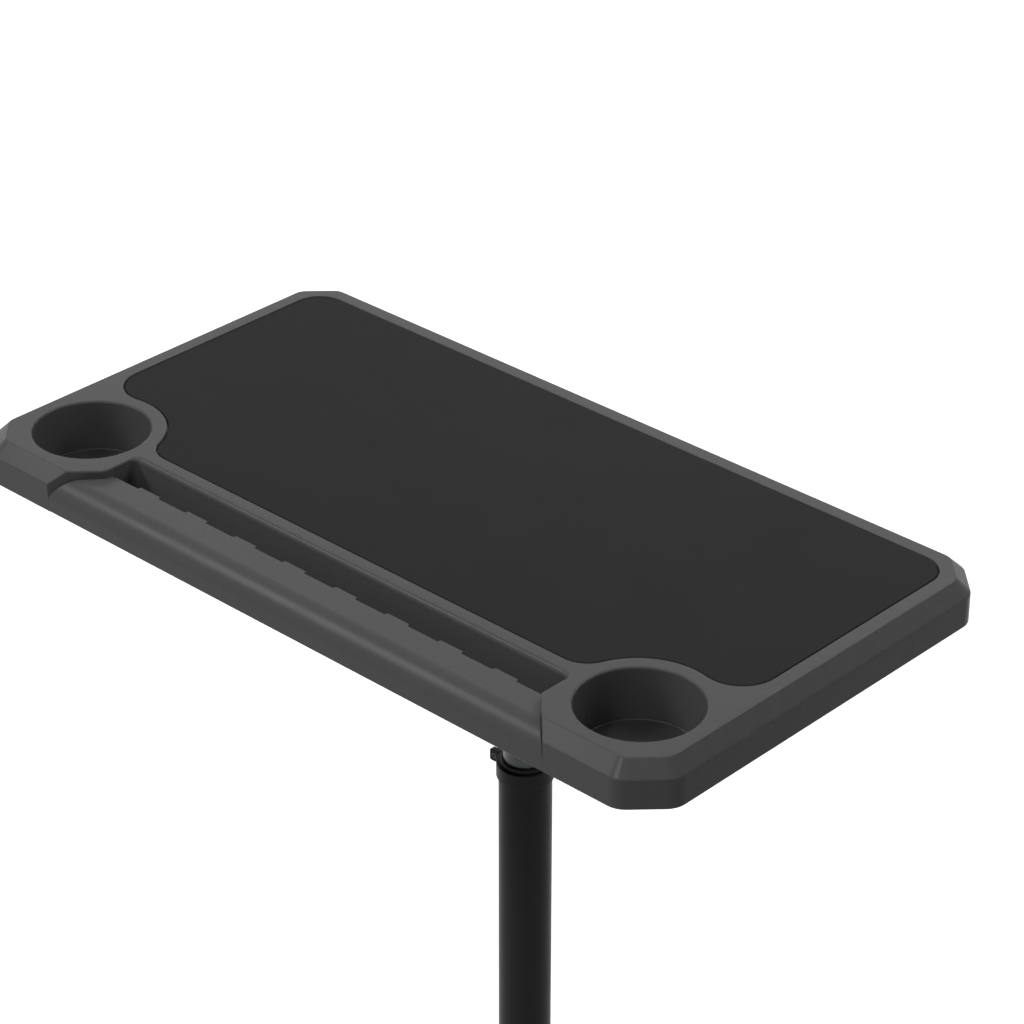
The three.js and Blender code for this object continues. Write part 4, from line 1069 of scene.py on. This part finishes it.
def collar_patches(bore):
    """The split collar and its two drilled ears: a turned section that stops at the gap.

    There a point at the radius r has x = -sqrt(r ^ 2 - (gap / 2) ^ 2).
    """
    low, high = box_mm("clamp_collar")
    half_gap = EAR_GAP / 2
    top = high[2]
    outer = bore + SEAT_GAP + COLLAR_WALL
    foot = bore + COLLAR_FOOT_WALL
    seat = low[2] + COLLAR_FOOT
    corners = stair(bore, low[2], foot, seat, outer, top, bore)
    section = rounded(corners, [0.05, 0.05, 0.05, 0.4, 0.6, 0.3], 5)[0]
    stop = pi - np.arcsin(half_gap / section[:, :1])
    angle = stop * np.linspace(-1, 1, FULL_STEPS + 1)
    patches = [grid(swung(section[:, :1], angle, section[:, 1:]), wrap_rows=True)]
    points, faces = flat(np.column_stack([-np.sqrt(section[:, 0] ** 2 - half_gap ** 2), section[:, 1]]))
    hole = circle(EAR_HOLE, (clamp_x, -clamp_z), BOLT_STEPS)
    for side in (-1, 1):
        patches.append((np.insert(points[:, :2], 1, side * half_gap, axis=1), faces))
        ear = ((low[0], side * half_gap, top - EAR_HEIGHT),
               (-bore - COLLAR_WALL / 2, side * (half_gap + EAR_THICKNESS), top))
        patches += bar(*ear, ALONG_Y, EAR_CORNER, 0.6, holes=[hole])
    return patches


def lever_patches():
    """The cam lever: two round cheeks with the fork between them, and an arm that bends round the collar."""
    low, high = box_mm("clamp_lever")
    outer = outer_radius + SEAT_GAP + COLLAR_WALL
    inside_y = outer + LEVER_CLEARANCE
    outside_y = inside_y + LEVER_THICKNESS
    tip_x = high[0]
    round_end = arc_points((clamp_x, cam_y), CAM_RADIUS, pi / 2, 2 * pi + radians(25), 32)
    arm = [[-outer / 2, inside_y], [outer / 2, inside_y + LEVER_THICKNESS / 4],
           [tip_x, inside_y - LEVER_THICKNESS / 2], [tip_x, inside_y + LEVER_THICKNESS / 3],
           [outer / 2, outside_y], [-outer / 2, outside_y]]
    arm_radii = [10, 24, 1.6, 1.6, 30, 12]
    whole = outline_plan(np.concatenate([round_end, arm]), [0.05] * len(round_end) + arm_radii)
    root_x = clamp_x + CAM_RADIUS * 0.6
    web = outline_plan([[root_x, cam_y + 1], round_end[-1], *arm, [root_x, cam_y + CAM_RADIUS - 1]],
                       [0.3, 0.3, *arm_radii, 0.5])
    fork_low = clamp_z - STUD_RADIUS - RUNNING_GAP
    fork_high = clamp_z + STUD_RADIUS + RUNNING_GAP
    cheeks = slab(whole, low[2], fork_low, LEVER_EDGE, 5) + slab(whole, fork_high, high[2], LEVER_EDGE, 5)
    return cheeks + slab(web, fork_low - 1, fork_high + 1, 0.1, 2)


outer_radius, low, high = round_sizes("outer_tube")
tube_bore = outer_radius - TUBE_WALL
outer_tube = slit_pipe(tube_bore, outer_radius, low, high)
add_piece("coated_outer_tube", outer_tube, POWDER_COAT, "stand", "outer_tube")
bush_radius, low, high = round_sizes("guide_bush")
bush_seat = high - BUSH_FLANGE_HEIGHT
bush_bore = inner_radius + RUNNING_GAP
bush_corners = stair(bush_bore, low, tube_bore - SEAT_GAP, bush_seat, bush_radius, high, bush_bore)
bush = lathe(bush_corners, [0.3, 0.4, 0.1, 0.3, 1, 0.3], True)
add_piece("bush", [bush], DARK_PLASTIC, "stand", "guide_bush")

clamp_x, _, clamp_z = box_mm("clamp_stud").mean(0)
cam_y = box_mm("lever_barrel").mean(0)[1]
add_piece("split_collar", collar_patches(outer_radius), POWDER_COAT, "stand", "clamp_collar")
add_bolt("clamp_stud", "stand", 1, AGAINST_Y, *CLAMP_STUD, "stud", BLACK_STEEL)
barrel_radius, low, high = round_sizes("lever_barrel")
add_piece("barrel", [rod(barrel_radius, low, high, 0.5, centre=(clamp_x, cam_y))], ZINC_STEEL, "stand",
          "lever_barrel")
washer = bar(*box_mm("cam_washer"), ALONG_Y, 1.2, 0.3)
add_piece("washer", washer, DARK_PLASTIC, "stand", "cam_washer")
add_piece("lever", lever_patches(), DARK_PLASTIC, "cam_lever", "clamp_lever")


# Base: hub on its plate, crossbar, legs and their bolts

HUB_WALL = 3.2
HUB_PLATE = 5
HUB_PLATE_CORNER = 8
GUSSET_THICKNESS = 4
GUSSET_REACH = 22
GUSSET_HEIGHT = 50
BAR_CORNER = 3.2
BAR_END_EDGE = 0.3
CAP_EDGE = 1.4

hub_bore = outer_radius + SEAT_GAP
hub_outer = hub_bore + HUB_WALL


def base_socket_patches():
    """Plate, hub with a weld round its foot, and a gusset on each side with a weld-sized foot."""
    low, high = box_mm("base_socket")
    top = low[2] + HUB_PLATE
    weld = hub_outer + WELD_RADIUS
    plate = bar(low, (*high[:2], top), UPRIGHT, HUB_PLATE_CORNER, 0.6)
    hub = lathe([[hub_bore, top - 1], [weld, top - 1], [weld, top], [hub_outer, top + WELD_RADIUS],
                 [hub_outer, high[2]], [hub_bore, high[2]]], [0.1, 0.1, 0.4, 2, 0.6, 0.4], True)
    half = GUSSET_THICKNESS / 2
    inner = hub_outer - HUB_WALL / 2
    reach = hub_outer + GUSSET_REACH
    corners = np.array([[inner, top + GUSSET_HEIGHT], [hub_outer, top + GUSSET_HEIGHT],
                        [reach, top + GUSSET_THICKNESS], [reach, top - 1], [inner, top - 1]])
    patches = [*plate, hub]
    for side in (1, -1):
        outline = outline_plan((corners * [side, -1])[::side], [0.1, 2, 1, 0.1, 0.1][::side])
        patches += moved(slab(outline, -half, half, 0.5), ALONG_Y)
    return patches


add_piece("hub", base_socket_patches(), POWDER_COAT, "stand", "base_socket")
add_knob("hub_knob", "hub_screw", "stand", hub_outer + SEAT_GAP)
for number in range(1, 5):
    add_bolt(f"hub_bolt_{number}", "stand", 2, UPRIGHT, *BASE_BOLT)
crossbar_box = box_mm("crossbar")
crossbar = bar(*crossbar_box, ALONG_X, BAR_CORNER, BAR_END_EDGE)
add_piece("coated_crossbar", crossbar, POWDER_COAT, "stand", "crossbar")
for side, head_turn in (("left", AGAINST_X), ("right", ALONG_X)):
    leg_box = box_mm(f"leg_{side}")
    leg = bar(*leg_box, ALONG_Y, BAR_CORNER, BAR_END_EDGE)
    add_piece(f"coated_leg_{side}", leg, POWDER_COAT, "stand", f"leg_{side}")
    for end, inside, gap in (("front", 0, -SEAT_GAP), ("rear", 1, SEAT_GAP)):
        cap = f"leg_cap_{end}_{side}"
        face = box_mm(cap)
        face[1 - inside, 1] = leg_box[inside, 1] + gap
        add_piece(f"{cap}_plug", bar(*face, ALONG_Y, BAR_CORNER, CAP_EDGE, 6), DARK_PLASTIC, "stand", cap)
    for number in (1, 2):
        add_bolt(f"leg_bolt_{side}_{number}", "stand", 0, head_turn, *BASE_BOLT)


# Casters, in their own frame: the origin is on the floor under the stem and the wheel trails towards +Y

WHEEL_RADIUS = 37.5
TRAIL = 20
HUB_HALF = 12.2
FORK_THICKNESS = 2.6
FORK_HALF = 16
FORK_GAP = 2.8
FORK_CUP = 7.2
EYE_RADIUS = 12
RACE_RADIUS = 15
RACE_HEIGHT = 4
NUT_RADIUS = 9
NUT_HEIGHT = 3.8
STEM_RADIUS = 5
STEM_LENGTH = 24
RIVET_RADIUS = 4
RIVET_HEAD = 7
RIVET_HEIGHT = 3.4
AXLE_RADIUS = 4
AXLE_HEAD = 7
AXLE_HEAD_HEIGHT = 3.4
TYRE_HALF = 11
TYRE_THICKNESS = 9
TYRE_SHOULDER = 4
GROOVE_DEPTH = 0.6
GROOVE_SIDES = (4.4, 4, 3.4, 3)
RIM_HALF = 9
RIM_WALL = 3.5
WEB_HALF = 4
CORE_HUB = 12
SPOKES = 6
SPOKE_PROUD = 3
PEDAL_Y = 26
PEDAL_RISE = 5
PEDAL_EAR = 6
PEDAL_PIN = 3
PEDAL_THICKNESS = 6
PEDAL_LENGTH = 31
PEDAL_DROOP = 8
PEDAL_LUG_REACH = 14
PEDAL_LUG_DROP = 9.2
PEDAL_LUG_LENGTH = 5
PEDAL_BARS = 4
PEDAL_BAR_SHARES = (0.32, 0.86)
PEDAL_BAR_RADIUS = 0.9

fork_plate_z = 2 * WHEEL_RADIUS + FORK_GAP
fork_plate_top = fork_plate_z + FORK_THICKNESS
fork_top = fork_plate_top + FORK_CUP
cheek_inner = HUB_HALF + RUNNING_GAP
cheek_outer = cheek_inner + FORK_THICKNESS
pedal_z = fork_plate_z + PEDAL_RISE


def stem_patches():
    """Rivet head, race, nut and stem in one turned piece."""
    race_low = fork_top + SEAT_GAP
    nut_low = race_low + RACE_HEIGHT
    nut_top = nut_low + NUT_HEIGHT
    stem_top = crossbar_box[0, 2] + STEM_LENGTH
    rivet_top = fork_plate_z - SEAT_GAP
    corners = stair(0, rivet_top - RIVET_HEIGHT, RIVET_HEAD, rivet_top, RIVET_RADIUS, race_low, RACE_RADIUS,
                    nut_low, NUT_RADIUS, nut_top, STEM_RADIUS, stem_top, 0)
    return [lathe(corners, [0, 2.4, 0.3, 0.2, 0.2, 0.8, 1.4, 0.6, 0.6, 0.3, 1, 0], steps=ROUND_STEPS)]


def fork_patches(braked):
    """The pressed fork: crown, cup for the race and two cheeks whose lower ends are round about the axle."""
    crown_plan = box_plan(-cheek_outer, cheek_outer, -FORK_HALF, FORK_HALF, 1.2)
    crown = slab(crown_plan, fork_plate_z, fork_plate_top, 0.5)
    hole = RIVET_RADIUS + SEAT_GAP
    cup_low = fork_plate_z + 0.5
    cup = lathe(stair(hole, cup_low, RACE_RADIUS, fork_top, hole), [0.1, 0.2, 2.2, 0.3], True, ROUND_STEPS)
    eye = arc_points((TRAIL, WHEEL_RADIUS), EYE_RADIUS, pi, 2 * pi, 24)
    ear = arc_points((PEDAL_Y, pedal_z), PEDAL_EAR, 0, pi / 2, 8)
    rear = ear if braked else [[FORK_HALF, fork_plate_top]]
    front = [[-FORK_HALF, fork_plate_top], [-FORK_HALF, fork_plate_z - FORK_THICKNESS]]
    radii = [1.2, 4] + [0.05] * len(eye) + ([0.05] * len(ear) if braked else [3])
    cheek = outline_plan(np.concatenate([front, eye, rear]), radii, 4)
    cheeks = [patch for x in (-cheek_outer, cheek_inner) for patch in slab(cheek, x, x + FORK_THICKNESS, 0.5)]
    return [*crown, cup, *moved(cheeks, ALONG_X)]


def on_axle(patches):
    """Patches made on Z laid along the wheel's axle."""
    return moved(patches, ALONG_X, (0, TRAIL, WHEEL_RADIUS))


def both_halves(half, radii, steps):
    """A turned ring from half of its (radius, height) section, repeated on the other side of z = 0."""
    return lathe([[r, -x] for r, x in half] + half[::-1], radii + radii[::-1], True, steps)


def axle_patches():
    """The axle with a domed head at each end."""
    inner = cheek_outer + SEAT_GAP
    outer = inner + AXLE_HEAD_HEIGHT
    corners = stair(0, -outer, AXLE_HEAD, -inner, AXLE_RADIUS, inner, AXLE_HEAD, outer, 0)
    return on_axle([lathe(corners, [0, 2, 0.4, 0.2, 0.2, 0.4, 2, 0], steps=BOLT_STEPS)])


def wheel_patches():
    """The wheel's core: hub, web and rim turned in one, with flat spokes on both sides of the web."""
    rim = WHEEL_RADIUS - TYRE_THICKNESS - SEAT_GAP
    rim_inside = rim - RIM_WALL
    half = stair(AXLE_RADIUS + RUNNING_GAP, HUB_HALF, CORE_HUB, WEB_HALF, rim_inside, RIM_HALF, rim)
    patches = [both_halves(half, [0.4, 1.4, 2, 2, 0.8, 0.5], 96)]
    spoke_plan = box_plan(CORE_HUB - 1, rim_inside + 1, -1.2, 1.2, 0.4)
    spoke = slab(spoke_plan, WEB_HALF - 0.5, WEB_HALF + SPOKE_PROUD, 0.4, 2)
    for number in range(SPOKES):
        a = 2 * pi * number / SPOKES
        turn = np.array([[cos(a), -sin(a), 0], [sin(a), cos(a), 0], [0, 0, 1]])
        patches += moved(spoke, turn) + moved(spoke, turn @ DOWN)
    return on_axle(patches)


def tyre_patches():
    """The tyre: a turned section with round shoulders and two fine grooves in its tread."""
    r = WHEEL_RADIUS
    depths = (0, GROOVE_DEPTH, GROOVE_DEPTH, 0)
    half = [[r - TYRE_THICKNESS, RIM_HALF], [r - TYRE_SHOULDER, TYRE_HALF], [r, TYRE_HALF - TYRE_SHOULDER],
            *([r - depth, x] for depth, x in zip(depths, GROOVE_SIDES))]
    return on_axle([both_halves(half, [0.4, 3, 3, 0.1, 0.1, 0.1, 0.1], 144)])


def pedal_patches():
    """The brake pedal: a rounded side outline across the wheel, its pin, and bars across the tread."""
    half = PEDAL_THICKNESS / 2
    y = PEDAL_Y
    z = pedal_z
    lug = y + PEDAL_LUG_REACH
    lug_end = lug + PEDAL_LUG_LENGTH
    tip = np.array([y + PEDAL_LENGTH, z - PEDAL_DROOP])
    corners = [[y - half, z - half], [lug - half / 2, z - half], [lug, z - PEDAL_LUG_DROP],
               [lug_end, z - PEDAL_LUG_DROP], [lug_end + half / 2, z - PEDAL_THICKNESS],
               [tip[0] - half / 2, tip[1] - half], tip, [y + half, z + half], [y - half, z + half]]
    outline = outline_plan(corners, [1.6, 0.6, 0.6, 0.6, 0.6, 1, 1.4, 4, 2.6])
    tread = slab(outline, -HUB_HALF, HUB_HALF, 0.9, 5)
    pin_end = cheek_outer + 0.8
    pin = rod(PEDAL_PIN, -pin_end, pin_end, 0.5, 32)
    patches = moved(tread, ALONG_X) + moved([pin], ALONG_X, (0, y, z))
    start = np.array([y + half, z + half])
    bar_end = HUB_HALF - 2.4
    tread_bar = rod(PEDAL_BAR_RADIUS, -bar_end, bar_end, 0.5, 16)
    for share in np.linspace(*PEDAL_BAR_SHARES, PEDAL_BARS):
        patches += moved([tread_bar], ALONG_X, (0, *(start + (tip - start) * share)))
    return patches


def add_caster(corner, braked):
    """All pieces of one caster, turned and placed under its stem."""
    x, y, _ = box_mm(f"caster_stem_{corner}").mean(0)
    turn = np.diag([-1, -1, 1]) if y < 0 else UPRIGHT

    def put(name, patches, finish, body, node):
        add_piece(f"{name}_{corner}", moved(patches, turn, (x, y, 0)), finish, body, f"{node}_{corner}")

    put("stem", stem_patches(), ZINC_STEEL, "stand", "caster_stem")
    put("pressed_fork", fork_patches(braked), BLACK_STEEL, f"swivel_{corner}", "fork")
    put("axle_bolt", axle_patches(), ZINC_STEEL, f"swivel_{corner}", "axle")
    put("wheel_core", wheel_patches(), WHEEL_PLASTIC, f"roller_{corner}", "wheel")
    put("rubber_tyre", tyre_patches(), TYRE_RUBBER, f"roller_{corner}", "tyre")
    if braked:
        put("pedal", pedal_patches(), DARK_PLASTIC, f"brake_{corner}", "brake_pedal")


for side in ("left", "right"):
    add_caster(f"front_{side}", True)
    add_caster(f"rear_{side}", False)


# Floor, backdrop and light

FLOOR_HALF_M = 12.0
FLOOR_LEVEL = 238
FLOOR_GLOW = (0.5, 1.0)
FLOOR_GLOW_FROM_M = (0.8, 2.2)
WHITE = (1, 1, 1, 1)
WORLD_FILL = 0.01


def seen_rays(tree):
    """One for camera, glossy and transmission rays, and nothing for others: the largest of the three."""
    path = add_node(tree, "ShaderNodeLightPath")
    value = path.outputs["Is Camera Ray"]
    for ray in ("Is Glossy Ray", "Is Transmission Ray"):
        largest = add_node(tree, "ShaderNodeMath", operation="MAXIMUM")
        tree.links.new(value, largest.inputs[0])
        tree.links.new(path.outputs[ray], largest.inputs[1])
        value = largest.outputs[0]
    return value


def add_floor():
    """A pale floor that keeps the object's shadow; where seen it also glows, less near the object.

    The glow runs between its two levels over a range of distances from the middle in metres.
    """
    mesh = bpy.data.meshes.new("floor")
    h = FLOOR_HALF_M
    mesh.from_pydata([(-h, -h, 0), (h, -h, 0), (h, h, 0), (-h, h, 0)], [], [(0, 1, 2, 3)])
    made = Finish("pale_floor", FLOOR_LEVEL, 0.9, specular_ior_level=0.1, emission_color=WHITE)
    link = made.tree.links.new
    away = add_node(made.tree, "ShaderNodeVectorMath", operation="LENGTH")
    glow = add_node(made.tree, "ShaderNodeMath", operation="MULTIPLY")
    link(made.coordinates, away.inputs[0])
    link(seen_rays(made.tree), glow.inputs[0])
    link(made.spread(away.outputs["Value"], *FLOOR_GLOW, *FLOOR_GLOW_FROM_M), glow.inputs[1])
    link(glow.outputs[0], made.inputs["Emission Strength"])
    mesh.materials.append(made.material)
    floor = add_object("floor", mesh)


def add_world():
    """Even fill light; the camera and reflections see white surroundings instead."""
    world = bpy.data.worlds.new("studio")
    bpy.context.scene.world = world
    world.use_nodes = True
    tree = world.node_tree
    tree.nodes.clear()
    mix = add_node(tree, "ShaderNodeMixShader")
    out = add_node(tree, "ShaderNodeOutputWorld")
    tree.links.new(seen_rays(tree), mix.inputs["Fac"])
    for number, strength in ((1, WORLD_FILL), (2, 1.0)):
        light = add_node(tree, "ShaderNodeBackground", [("Color", WHITE), ("Strength", strength)])
        tree.links.new(light.outputs[0], mix.inputs[number])
    tree.links.new(mix.outputs[0], out.inputs["Surface"])


def add_softbox(name, direction, distance, size, radiance):
    """A square lamp that faces the desktop from a direction; radiance is what a reflection of it shows."""
    data = bpy.data.lights.new(name, "AREA")
    data.shape = "SQUARE"
    data.size = size
    data.energy = radiance * pi * size * size
    lamp = add_object(name, data)
    away = Vector(direction).normalized()
    lamp.location = Vector(desk_origin * MM) + away * distance
    lamp.rotation_mode = "QUATERNION"
    lamp.rotation_quaternion = away.to_track_quat("Z", "Y")


add_floor()
add_world()
add_softbox("back_left_softbox", (-0.62, 0.62, 0.48), 3.0, 2.2, 0.9)
add_softbox("front_left_softbox", (-0.59, -0.46, 0.65), 4.0, 1.25, 18)
add_softbox("front_key", (-0.06, -0.61, 0.79), 4.0, 0.55, 47)
add_softbox("high_right_softbox", (0.35, -0.31, 0.88), 3.0, 1.0, 2.5)
add_softbox("front_right_softbox", (0.65, -0.65, 0.35), 3.0, 2.0, 1.2)
add_softbox("near_back_right_softbox", (0.32, 0.60, 0.73), 1.25, 0.6, 8)
bpy.context.scene.view_settings.view_transform = "Standard"
